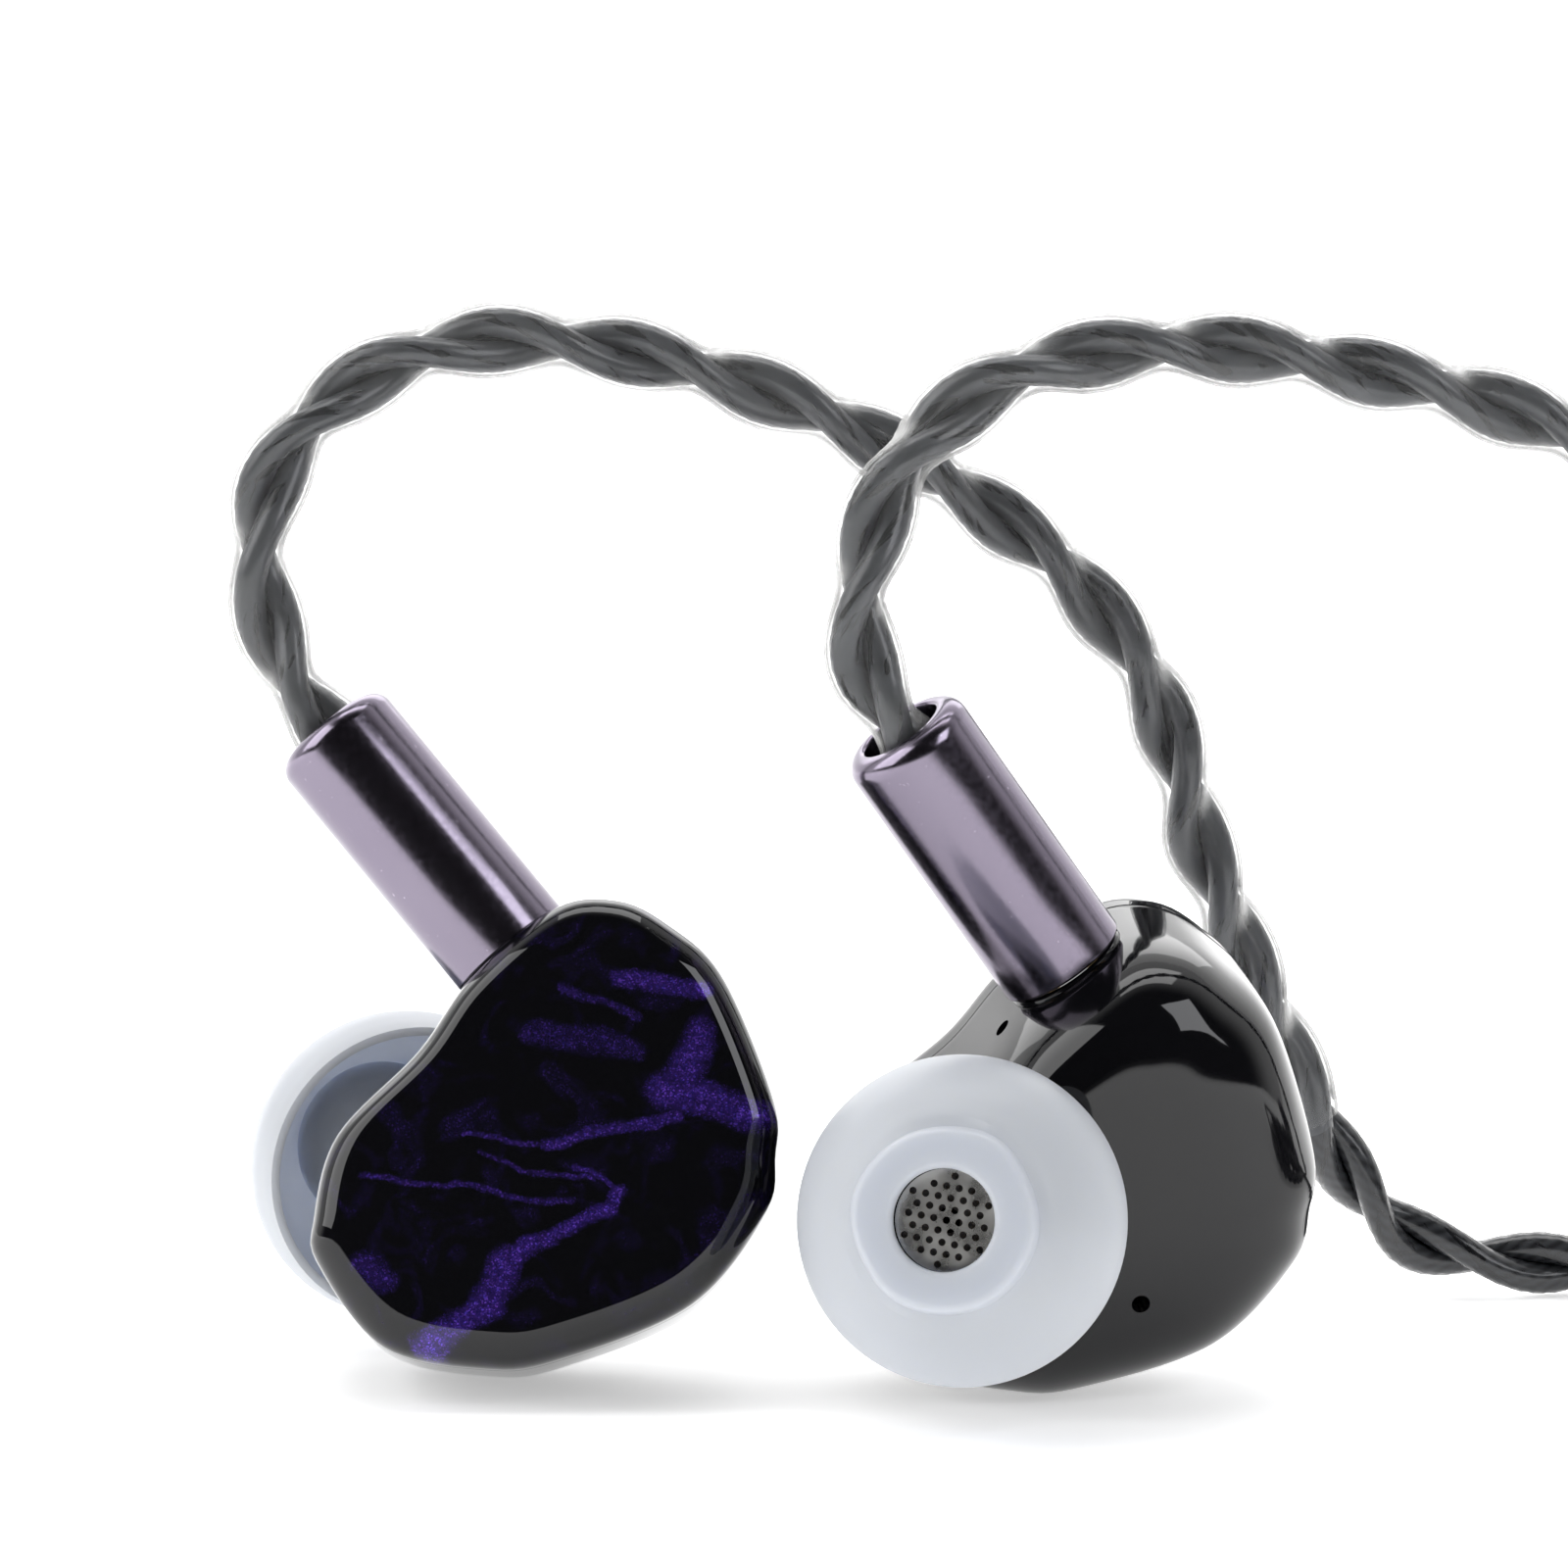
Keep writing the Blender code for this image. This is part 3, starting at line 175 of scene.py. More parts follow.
class Look:
    """A node material: one shader, with helpers that add the surface's own variation."""

    def __init__(self, name, colour, roughness, metallic=0.0, **sockets):
        self.made = bpy.data.materials.new(name)
        self.made.use_nodes = True
        self.tree = self.made.node_tree
        self.shader = self.tree.nodes["Principled BSDF"]
        self.colour = colour
        self.roughness = roughness
        self.set("Base Color", (*colour, 1.0))
        self.set("Roughness", roughness)
        self.set("Metallic", metallic)
        for key, value in sockets.items():
            self.set(key.replace("_", " "), value)

    def set(self, socket, value):
        self.shader.inputs[socket].default_value = value

    def put(self, value, socket):
        """Links an output to a socket, or sets a number or a colour on it."""
        if isinstance(value, bpy.types.NodeSocket):
            self.tree.links.new(value, socket)
        else:
            socket.default_value = value

    def feed(self, socket, value):
        self.put(value, self.shader.inputs[socket])

    def node(self, kind, inputs=(), **settings):
        made = self.tree.nodes.new("ShaderNode" + kind)
        for key, value in settings.items():
            setattr(made, key, value)
        for key, value in dict(inputs).items():
            self.put(value, made.inputs[key])
        return made

    def place(self):
        return self.node("TexCoord").outputs["Object"]

    def noise(self, scale, detail=3.0, vector=None, distortion=0.0):
        inputs = {"Scale": scale, "Detail": detail, "Distortion": distortion, "Vector": vector or self.place()}
        return self.node("TexNoise", inputs).outputs["Fac"]

    def maths(self, operation, a, b=0.0, c=None, clamp=False):
        made = self.node("Math", operation=operation, use_clamp=clamp)
        for socket, value in zip(made.inputs, (a, b, c)):
            if value is not None:
                self.put(value, socket)
        return made.outputs[0]

    def span(self, value, low, high, to_low=0.0, to_high=1.0, smooth=False):
        inputs = zip(("Value", *RANGE_SOCKETS), (value, low, high, to_low, to_high))
        made = self.node("MapRange", inputs, interpolation_type="SMOOTHSTEP" if smooth else "LINEAR")
        return made.outputs["Result"]

    def mix(self, share, a, b):
        made = self.node("Mix", {"Factor": share}, data_type="RGBA")
        for name, value in (("A", a), ("B", b)):
            socket = [s for s in made.inputs if s.name == name and s.type == "RGBA"][0]
            self.put((*value, 1.0) if isinstance(value, tuple) else value, socket)
        return [s for s in made.outputs if s.type == "RGBA"][0]

    def bump(self, height, strength, distance):
        made = self.node("Bump", {"Strength": strength, "Distance": distance, "Height": height})
        self.feed("Normal", made.outputs["Normal"])

    def vary(self, scale, colour_share, roughness_share, bump=0.0, distance=0.00002):
        """Cloudy variation of the colour and the roughness, and a fine grain."""
        cloud = self.noise(scale, 4.0)
        dark = tuple(c * (1 - colour_share) for c in self.colour)
        light = tuple(min(1.0, c * (1 + colour_share)) for c in self.colour)
        self.feed("Base Color", self.mix(cloud, dark, light))
        low, high = self.roughness - roughness_share, self.roughness + roughness_share
        self.feed("Roughness", self.span(cloud, 0.3, 0.7, max(0.02, low), high))
        if bump:
            self.bump(self.noise(scale * 9, 2.0), bump, distance)
        return self


def gloss_resin(name):
    look = Look(name, (0.0035, 0.0035, 0.0045), 0.06, IOR=1.5)
    return look.vary(160.0, 0.25, 0.015, 0.01, 0.00002)


# Strokes of the swirl in the faceplate: start, end and half width, in millimetres across the face.
STROKES = [
    ((2.3, 6.2), (5.9, 5.9), 0.26, 0.9),
    ((5.7, 3.9), (5.2, 1.9), 0.50, 0.9),
    ((4.6, 1.7), (8.4, 1.0), 0.48, 1.0),
    ((5.0, 0.7), (-0.2, -0.6), 0.16, 0.8),
    ((-0.2, -0.6), (-3.6, -0.3), 0.08, 0.4),
    ((-1.0, 3.9), (3.3, 3.2), 0.30, 0.25),
    ((0.1, 5.7), (3.3, 4.6), 0.14, 0.30),
    ((-7.6, -2.3), (0.9, -2.9), 0.10, 0.40),
    ((-2.9, -1.1), (1.7, -2.1), 0.08, 0.35),
    ((0.9, -1.5), (2.9, -2.4), 0.10, 0.6),
    ((2.9, -2.4), (2.5, -3.3), 0.20, 0.9),
    ((2.5, -3.3), (-1.5, -5.4), 0.24, 1.0),
    ((-1.5, -5.4), (-2.2, -7.0), 0.40, 1.0),
    ((-2.1, -7.2), (-4.5, -9.1), 0.36, 1.0),
    ((-7.2, -5.6), (-6.0, -6.6), 0.30, 0.35),
]


def swirl_resin(name, to_face, drift_start):
    """Black resin with clouds of violet flakes drawn out along the strokes."""
    black = (0.003, 0.003, 0.004)
    look = Look(name, black, 0.10, Coat_Weight=1.0, Coat_Roughness=0.02, IOR=1.5, Specular_IOR_Level=0.0)
    scale = Matrix.Scale(1 / MM, 4) @ to_face
    inputs = {"Location": scale.translation, "Rotation": scale.to_euler(), "Scale": (1 / MM, 1 / MM, 1 / MM)}
    face = look.node("Mapping", {**inputs, "Vector": look.place()}, vector_type="POINT").outputs["Vector"]
    inputs = {"W": drift_start, "Scale": 0.42, "Detail": 4.0, "Vector": face}
    drift = look.node("TexNoise", inputs, noise_dimensions="4D").outputs["Color"]
    centred = look.node("VectorMath", {0: drift, 1: (0.5, 0.5, 0.5)}, operation="SUBTRACT")
    inputs = {0: centred.outputs["Vector"], 1: (1.5, 1.5, 1.5), 2: face}
    moved = look.node("VectorMath", inputs, operation="MULTIPLY_ADD")
    flat = look.node("SeparateXYZ", {0: moved.outputs["Vector"]})
    x, z = flat.outputs["X"], flat.outputs["Z"]
    cloud = None
    for start, end, half, strength in STROKES:
        share = look.maths("MULTIPLY", stroke_share(look, x, z, start, end, half), strength)
        cloud = share if cloud is None else look.maths("MAXIMUM", cloud, share)
    grain = look.noise(2.6, 5.0, face)
    cloud = look.maths("MULTIPLY", cloud, look.span(grain, 0.28, 0.60, 0.25, 1.0))
    haze = look.span(look.noise(0.5, 4.0, face, 1.5), 0.52, 0.8, 0.0, 0.10)
    cloud = look.maths("ADD", cloud, haze, clamp=True)
    flakes = look.node("TexVoronoi", {"Scale": 17.0, "Vector": face}, feature="F1")
    pick = look.node("SeparateColor", {0: flakes.outputs["Color"]})
    bright = look.maths("POWER", pick.outputs["Red"], 6.0)
    glint = look.span(bright, 0.0, 1.0, 0.55, 3.0)
    violet = look.mix(pick.outputs["Green"], (0.040, 0.024, 0.26), (0.095, 0.035, 0.33))
    lit = look.node("VectorMath", {0: violet, "Scale": glint}, operation="SCALE")
    look.feed("Base Color", look.mix(cloud, black, lit.outputs["Vector"]))
    look.feed("Metallic", look.maths("MULTIPLY", cloud, 0.75))
    look.feed("Roughness", look.span(cloud, 0.0, 1.0, 0.08, 0.42))
    return look


def stroke_share(look, x, z, start, end, half):
    """1 on the line from start to end, fading to 0 over twice the half width."""
    along = Vector(end) - Vector(start)
    length = along.length
    ux, uz = along / length
    dx = look.maths("SUBTRACT", x, start[0])
    dz = look.maths("SUBTRACT", z, start[1])
    run = look.maths("MULTIPLY_ADD", dz, uz, look.maths("MULTIPLY", dx, ux))
    side = look.maths("MULTIPLY_ADD", dz, ux, look.maths("MULTIPLY", dx, -uz))
    over = look.maths("MAXIMUM", look.maths("SUBTRACT", run, length), look.maths("MULTIPLY", run, -1.0))
    over = look.maths("MAXIMUM", over, 0.0)
    squared = look.maths("MULTIPLY_ADD", side, side, look.maths("MULTIPLY", over, over))
    return look.span(look.maths("SQRT", squared), half * 0.3, half * 2.0, 1.0, 0.0, smooth=True)


def make_looks():
    looks = {"resin": gloss_resin("black_resin_gloss")}
    silicone = Look(
        "white_silicone", (0.60, 0.63, 0.69), 0.42, Subsurface_Weight=0.5, Subsurface_Scale=0.0016,
        Transmission_Weight=0.12, IOR=1.41, Coat_Weight=0.10, Coat_Roughness=0.3,
    )
    silicone.set("Subsurface Radius", (1.0, 1.05, 1.25))
    looks["silicone"] = silicone.vary(90.0, 0.03, 0.06, 0.06, 0.00003)
    looks["steel"] = Look("steel_mesh", (0.74, 0.73, 0.70), 0.30, 1.0).vary(900.0, 0.08, 0.08, 0.05)
    looks["rim"] = Look("brown_gold_rim", (0.36, 0.22, 0.07), 0.35, 1.0).vary(1500.0, 0.30, 0.08)
    looks["gold"] = Look("gold_contact", (0.83, 0.60, 0.24), 0.22, 1.0).vary(700.0, 0.06, 0.05, 0.03)
    looks["black"] = Look("black_plastic", (0.012, 0.012, 0.014), 0.42).vary(1200.0, 0.2, 0.06, 0.10)
    looks["foam"] = Look("grey_foam", (0.10, 0.10, 0.105), 0.9).vary(1800.0, 0.5, 0.05, 0.8, 0.0001)
    looks["film"] = Look("diaphragm_film", (0.78, 0.74, 0.66), 0.35, 0.3).vary(500.0, 0.05, 0.06, 0.05)
    looks["copper"] = Look("copper_wire", (0.72, 0.38, 0.22), 0.35, 1.0).vary(2500.0, 0.15, 0.1, 0.4)
    looks["magnet"] = Look("magnet_nickel", (0.62, 0.61, 0.60), 0.22, 1.0).vary(500.0, 0.05, 0.06, 0.03)
    looks["iron"] = Look("plated_iron", (0.50, 0.50, 0.52), 0.30, 1.0).vary(600.0, 0.08, 0.06, 0.04)
    looks["board"] = Look("green_board", (0.02, 0.14, 0.06), 0.45).vary(700.0, 0.2, 0.05, 0.05)
    looks["red"] = Look("red_insulation", (0.50, 0.03, 0.03), 0.40).vary(700.0, 0.1, 0.06, 0.03)
    looks["strand"] = strand_look("charcoal_strand", (0.006, 0.007, 0.008), (0.085, 0.090, 0.100), 0.12, 0.5)
    looks["bare"] = strand_look("black_strand", (0.003, 0.003, 0.004), (0.045, 0.048, 0.054), 0.75, 0.6)
    looks["sleeve"] = sleeve_look()
    looks["strap"] = strap_look()
    return looks


def strand_look(name, dark, light, wire_share, gloss):
    """A strand of fine wires under a clear skin: wires at a slant along it, with sharp darker streaks and soft
    lighter cloudy patches of painted sheen.
    """
    look = Look(name, dark, 0.30, 0.0, Coat_Weight=gloss, Coat_Roughness=0.10)
    uv = look.node("TexCoord").outputs["UV"]
    inputs = {"Scale": 5.0, "Distortion": 0.3, "Detail": 1.0, "Vector": uv}
    wires = look.node("TexWave", inputs, wave_type="BANDS", bands_direction="DIAGONAL")
    # The cloud's lighter patches stand in for light scattered and reflected by the clear sleeve: painted sheen, on
    # sleeved and bare strands alike.
    cloud = look.noise(700.0, 3.0)
    lines = look.span(wires.outputs["Fac"], 0.0, 1.0, 1.0 - wire_share, 1.0)
    share = look.maths("MULTIPLY", lines, look.span(cloud, 0.3, 0.75, 0.55, 1.0))
    stretched = look.node("Mapping", {"Scale": (1.1, 5.0, 1.0), "Vector": uv})
    streak = look.noise(1.5, 4.0, stretched.outputs["Vector"], 0.4)
    streak = look.span(streak, 0.57, 0.59, 1.0, 0.12)
    share = look.maths("MULTIPLY", share, streak)
    look.feed("Base Color", look.mix(share, dark, light))
    look.feed("Roughness", look.span(share, 0.0, 0.6, 0.22, 0.42))
    look.feed("Metallic", look.maths("MULTIPLY", share, 0.35))
    look.bump(wires.outputs["Fac"], 0.20 * wire_share, 0.00004)
    return look


def sleeve_look():
    """Clear heat-shrink: nearly invisible face on, milky where it turns away."""
    look = Look("clear_sleeve", (0.40, 0.40, 0.39), 0.10, IOR=1.45)
    edge = look.node("LayerWeight", {"Blend": 0.5})
    cloud = look.noise(300.0, 3.0)
    veil = look.span(edge.outputs["Facing"], 0.35, 0.92, 0.06, 0.78, smooth=True)
    veil = look.maths("MULTIPLY", veil, look.span(cloud, 0.35, 0.7, 0.7, 1.2), clamp=True)
    look.feed("Alpha", veil)
    look.feed("Base Color", look.mix(cloud, (0.34, 0.34, 0.33), (0.50, 0.50, 0.49)))
    look.bump(look.noise(900.0, 2.0), 0.12, 0.00002)
    return look


def strap_look():
    """Woven strap with short loops."""
    look = Look("black_strap", (0.012, 0.012, 0.013), 0.9, Sheen_Weight=0.4, Sheen_Roughness=0.5)
    inputs = {"Scale": 700.0, "Distortion": 1.5, "Vector": look.place()}
    weave = look.node("TexWave", inputs, wave_type="BANDS", bands_direction="DIAGONAL")
    grain = look.noise(2500.0, 2.0)
    height = look.maths("MULTIPLY", weave.outputs["Fac"], grain)
    look.feed("Base Color", look.mix(height, (0.006, 0.006, 0.007), (0.045, 0.045, 0.048)))
    look.bump(height, 0.8, 0.0001)
    return look


# ---- Shapes ----


def plain_object(name, bm, angle=35):
    mesh = bpy.data.meshes.new(name)
    bm.to_mesh(mesh)
    bm.free()
    mesh.shade_smooth()
    mesh.set_sharp_from_angle(angle=math.radians(angle))
    made = bpy.data.objects.new(name, mesh)
    bpy.context.scene.collection.objects.link(made)
    return made


def rows_of(bm, rings):
    return [[bm.verts.new(point) for point in ring] for ring in rings]


def bridge(bm, rows):
    """Faces between each row of vertices and the next."""
    for low, high in zip(rows, rows[1:]):
        for i in range(len(low)):
            j = (i + 1) % len(low)
            bm.faces.new((low[i], low[j], high[j], high[i]))


def cap(bm, row, slot=0):
    """Closes a row to its middle point."""
    hub = bm.verts.new(sum((vert.co for vert in row), Vector()) / len(row))
    for a, b in zip(row, row[1:] + row[:1]):
        bm.faces.new((a, b, hub)).material_index = slot


def outward(bm):
    bmesh.ops.recalc_face_normals(bm, faces=bm.faces)
    return bm


def loft(rings):
    """A body through rings of equal length, its ends closed."""
    bm = bmesh.new()
    rows = rows_of(bm, rings)
    bridge(bm, rows)
    cap(bm, rows[0])
    cap(bm, rows[-1])
    return outward(bm)


def ring_body(rings):
    """A ring-shaped body from loops that follow each other round its section."""
    bm = bmesh.new()
    rows = rows_of(bm, rings)
    bridge(bm, rows + rows[:1])
    return outward(bm)


def lathe(profile, steps=72):
    """A body turned about Z from (radius, height) in millimetres, a loop or one that ends on the axis."""
    bm = bmesh.new()
    rows = []
    for radius, height in profile:
        turns = steps if radius > 0 else 1
        angles = [2 * math.pi * k / steps for k in range(turns)]
        rows.append([bm.verts.new(mm(radius * math.cos(a), radius * math.sin(a), height)) for a in angles])
    pairs = list(zip(rows, rows[1:]))
    if profile[0][0] > 0:
        pairs.append((rows[-1], rows[0]))
    for low, high in pairs:
        for i in range(steps):
            j = i + 1
            corners = (low[i % len(low)], low[j % len(low)], high[j % len(high)], high[i % len(high)])
            bm.faces.new(list(dict.fromkeys(corners)))
    return outward(bm)


def arc(radius, height, bend, start, end, steps=6):
    """Points of a profile on an arc, angles in degrees from the outward direction."""
    points = []
    for k in range(steps + 1):
        angle = math.radians(start + (end - start) * k / steps)
        points.append((radius + bend * math.cos(angle), height + bend * math.sin(angle)))
    return points


def spline(points, steps=8, closed=False):
    """A smooth curve through points of any dimension."""
    knots = [Vector(point) for point in points]
    if closed:
        knots = [knots[-1], *knots, knots[0], knots[1]]
    else:
        knots = [2 * knots[0] - knots[1], *knots, 2 * knots[-1] - knots[-2]]
    fine = []
    for before, start, end, after in zip(knots, knots[1:], knots[2:], knots[3:]):
        for k in range(steps):
            t = k / steps
            fine.append(
                0.5
                * (
                    2 * start
                    + (end - before) * t
                    + (2 * before - 5 * start + 4 * end - after) * t * t
                    + (3 * start - before - 3 * end + after) * t ** 3
                )
            )
    if not closed:
        fine.append(knots[-2])
    return fine


def even(fine, spacing=None, count=None, closed=False):
    """The same line at an even spacing."""
    if closed:
        fine = [*fine, fine[0].copy()]
    lengths = [0.0]
    for a, b in zip(fine, fine[1:]):
        lengths.append(lengths[-1] + (b - a).length)
    count = count or max(2, round(lengths[-1] / spacing))
    points = []
    k = 0
    for step in range(count + (0 if closed else 1)):
        wanted = lengths[-1] * step / count
        while k < len(fine) - 2 and lengths[k + 1] < wanted:
            k += 1
        points.append(fine[k].lerp(fine[k + 1], (wanted - lengths[k]) / (lengths[k + 1] - lengths[k])))
    return points


def axis_frame(origin, direction, near=(0, 1, 0)):
    z = Vector(direction).normalized()
    x = Vector(near).cross(z).normalized()
    y = z.cross(x)
    made = Matrix((x, y, z)).transposed().to_4x4()
    made.translation = mm(*origin)
    return made


# ---- How the two earpieces stand, and their sizes in millimetres ----

LEFT_CENTRE = (-8.73, 1.21, 9.78)
RIGHT_CENTRE = (12.8, -0.35, 9.69)
LEFT_TURNS = (0.0, 13.4, 2.9)
RIGHT_TURNS = (7.4, 9.7, 7.2)
MIRROR = Matrix.Diagonal((1.0, -1.0, 1.0, 1.0))
UNMOVED = Matrix.Identity(4)

SHELL_WIDTH, SHELL_HEIGHT = 18.6, 19.2
EAR_DEPTH = 6.9
SEAM = -3.4
SEAM_GAP = 0.05
TAPER_START = -1.25
TAPER_POWER = 4.1
WALL = 1.0
POLE_SHIFT = (-1.8, -0.6)
OUTLINE = [
    (0.22, 0.99), (0.45, 0.9), (0.7, 0.69), (0.95, 0.18), (0.97, -0.05), (0.94, -0.29),
    (0.64, -0.69), (0.07, -0.95), (-0.24, -1), (-0.68, -0.93), (-0.98, -0.6), (-1.01, -0.42),
    (-0.93, -0.06), (-0.6, 0.31), (-0.39, 0.63), (-0.05, 0.94),
]
PLATE_THICKNESS, PLATE_ROUND, PLATE_CROWN = 2.35, 1.75, 0.15

CONNECTOR_FOOT, CONNECTOR_TILT = (-0.24, 0.81), 42.4
BARREL_RADIUS, BARREL_LENGTH, BARREL_ROUND, BARREL_WALL = 2.675, 11.9, 0.8, 0.55
HOLE_RADIUS = 1.7
BOSS_RADIUS, BOSS_DEPTH = 2.55, 3.2
SOCKET_RADIUS = 1.92

NOZZLE_FOOT = (-0.55, 0.86, -0.17)
NOZZLE_AZIMUTH, NOZZLE_RISE = 19.5, 15.9
NOZZLE_RADIUS, LIP_RADIUS, NOZZLE_LENGTH = 2.2, 2.375, 9.2
BORE_RADIUS, MESH_RADIUS = 1.6, 2.0
HOLE_PITCH, MESH_HOLE, ROW_SHARE = 0.5, 0.145, 0.866
TIP_RADIUS, TIP_REAR, TIP_WIDEST, TIP_FRONT = 6.5, 3.0, 5.0, 10.3
TIP_WALL, TIP_CORE_WALL, TIP_RING, TIP_BORE = 0.45, 0.6, 3.55, 2.0

VENT_RADIUS = 0.375
EAR_VENT, WALL_VENT, WALL_VENT_DEPTH = (0.19, -0.43), (-0.46, 0.51), 0.8


def on_face(shares):
    return shares[0] * SHELL_WIDTH / 2, shares[1] * SHELL_HEIGHT / 2


def connector_frame():
    x, z = on_face(CONNECTOR_FOOT)
    tilt = math.radians(CONNECTOR_TILT)
    return axis_frame((x, 0, z), (-math.sin(tilt), 0, math.cos(tilt)))


def nozzle_frame():
    x, z = on_face((NOZZLE_FOOT[0], NOZZLE_FOOT[2]))
    side, rise = math.radians(NOZZLE_AZIMUTH), math.radians(NOZZLE_RISE)
    out = (-math.sin(side) * math.cos(rise), math.cos(side) * math.cos(rise), math.sin(rise))
    return axis_frame((x, NOZZLE_FOOT[1] * EAR_DEPTH, z), out, near=(0, 0, 1))


class Side:
    """One earpiece: the frame that its pieces are built in, and the bodies that they ride on."""

    def __init__(self, name, sign, centre, turns):
        self.name = name
        self.sign = sign
        yaw, lean, roll = (math.radians(turn) for turn in turns)
        place = Matrix.Translation(mm(*centre)) @ Matrix.Rotation(yaw, 4, "Z")
        place @= Matrix.Rotation(-sign * lean, 4, "X") @ Matrix.Rotation(roll, 4, "Y")
        self.place = place
        self.world = place @ MIRROR if sign < 0 else place

    def settle(self, bm, frame):
        """Moves a mesh from the left earpiece's frame to where this one stands."""
        bm.transform(self.world @ frame)
        if self.sign < 0:
            bmesh.ops.reverse_faces(bm, faces=bm.faces)
        return bm

    def add(self, part, bm, frame, body, look, slot, node):
        body = "cable" if body == "cable" else self.name + "_" + body
        piece(self.name + "_" + part, self.settle(bm, frame), body, look, slot, (self.name + "_" + node,))


def piece(name, bm, body, look, slot, nodes=(), angle=35):
    return dressed(plain_object(name, bm, angle), body, look, slot, nodes)


def dressed(made, body, look, slot, nodes):
    """Gives an object its materials, its body and the nodes that it stands for; the slot is not used."""
    for each in look if isinstance(look, list) else [look]:
        made.data.materials.append(each.made)
    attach(made, body)
    if nodes:
        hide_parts(*nodes)
    return made


def outline(count):
    corners = [Vector(on_face(point)) for point in OUTLINE]
    return even(spline(corners, 16, closed=True), count=count, closed=True)


OUTLINE_STEPS = 144
EDGE = outline(OUTLINE_STEPS)


def section(depth, share, shift=1.0):
    move_x, move_z = (value * (1 - share) * shift for value in POLE_SHIFT)
    return [mm(point.x * share + move_x, depth, point.y * share + move_z) for point in EDGE]


def inset(distance):
    return 1 - distance * 4 / (SHELL_WIDTH + SHELL_HEIGHT)


def taper(end_depth, base, steps=26):
    rings = []
    for k in range(steps):
        angle = math.radians(90) * k / steps
        depth = TAPER_START + (end_depth - TAPER_START) * math.sin(angle) ** (2 / TAPER_POWER)
        rings.append(section(depth, base * math.cos(angle) ** (2 / TAPER_POWER)))
    return rings


def run(start, end, steps):
    """Evenly spaced depths from start up to, and not at, end."""
    return [start + (end - start) * k / steps for k in range(steps)]


def cut(target, bm, operation):
    """Joins or cuts a closed mesh into a target, at once."""
    other = plain_object("cutter", bm)
    modifier = target.modifiers.new("cut", "BOOLEAN")
    modifier.operation = operation
    modifier.solver = "EXACT"
    modifier.object = other
    bpy.context.view_layer.update()
    made = bpy.data.meshes.new_from_object(target.evaluated_get(bpy.context.evaluated_depsgraph_get()))
    target.modifiers.clear()
    target.data = made
    bpy.data.objects.remove(other, do_unlink=True)


def flare(radius, foot, height, spread, steps=8):
    """A stem's profile whose foot opens out along a quarter circle."""
    return [
        (radius + spread * (1 - math.sin(math.radians(90 * k / steps))),
         foot + height * (1 - math.cos(math.radians(90 * k / steps))))
        for k in range(steps + 1)
    ]


# ---- Earpiece ----


def make_shell(side, looks):
    rings = [section(SEAM + SEAM_GAP, 1 - 0.006), section(SEAM + SEAM_GAP + 0.02, 1 - 0.001)]
    rings += [section(depth, 1.0) for depth in run(SEAM + SEAM_GAP + 0.1, TAPER_START, 6)]
    rings += taper(EAR_DEPTH, 1.0)
    shell = plain_object("solid", side.settle(loft(rings), UNMOVED))
    foot, nozzle = connector_frame(), nozzle_frame()
    boss = [(0, -BOSS_DEPTH - 1.6)] + [(r, h) for r, h in flare(BOSS_RADIUS, -BOSS_DEPTH - 1.0, 2.4, 0.55)]
    boss += arc(BOSS_RADIUS - 0.18, -0.12 - 0.18, 0.18, 0, 90) + [(0, -0.12)]
    boss.insert(1, (BOSS_RADIUS + 0.55, -BOSS_DEPTH - 1.6))
    cut(shell, side.settle(lathe(boss, 96), foot), "UNION")
    stem = [(0, -2.5), (NOZZLE_RADIUS + 1.1, -2.5)] + flare(NOZZLE_RADIUS, -1.2, 3.2, 1.1)
    stem += [(NOZZLE_RADIUS, NOZZLE_LENGTH - 1.4)]
    stem += arc(LIP_RADIUS - 0.15, NOZZLE_LENGTH - 0.85, 0.15, -60, 0)
    stem += arc(LIP_RADIUS - 0.2, NOZZLE_LENGTH - 0.2, 0.2, 0, 90) + [(0, NOZZLE_LENGTH)]
    cut(shell, side.settle(lathe(stem, 96), nozzle), "UNION")
    share = inset(WALL)
    inner = [section(SEAM - 1.0, share)] + taper(EAR_DEPTH - WALL, share, 10)
    cut(shell, side.settle(loft(inner), UNMOVED), "DIFFERENCE")
    seat = NOZZLE_LENGTH - 0.94
    seat_radius = MESH_RADIUS + 0.06
    bore = [(0, -3.5), (BORE_RADIUS, -3.5), (BORE_RADIUS, seat), (seat_radius, seat)]
    bore += [(seat_radius, NOZZLE_LENGTH + 1), (0, NOZZLE_LENGTH + 1)]
    cut(shell, side.settle(lathe(bore, 64), nozzle), "DIFFERENCE")
    pocket = [(0, -BOSS_DEPTH - 4), (SOCKET_RADIUS, -BOSS_DEPTH - 4), (SOCKET_RADIUS, 1), (0, 1)]
    cut(shell, side.settle(lathe(pocket, 64), foot), "DIFFERENCE")
    for place, out, reach in vents():
        form = lathe([(0, -reach), (VENT_RADIUS, -reach), (VENT_RADIUS, reach), (0, reach)], 32)
        cut(shell, side.settle(form, axis_frame(place, out, near=(0.3, 0.2, 0.9))), "DIFFERENCE")
    shell.name = side.name + "_shell_body"
    shell.data.materials.clear()
    shell.data.shade_smooth()
    shell.data.set_sharp_from_angle(angle=math.radians(28))
    dressed(shell, side.name + "_earpiece", looks["resin"], "black_resin", (side.name + "_shell",))


def vents():
    x, z = on_face(EAR_VENT)
    ear = (x, EAR_DEPTH - 1.0, z), (0, 1, 0), 2.5
    x, z = on_face(WALL_VENT)
    return ear, ((x, WALL_VENT_DEPTH, z), (-0.85, 0, 0.53), 2.0)


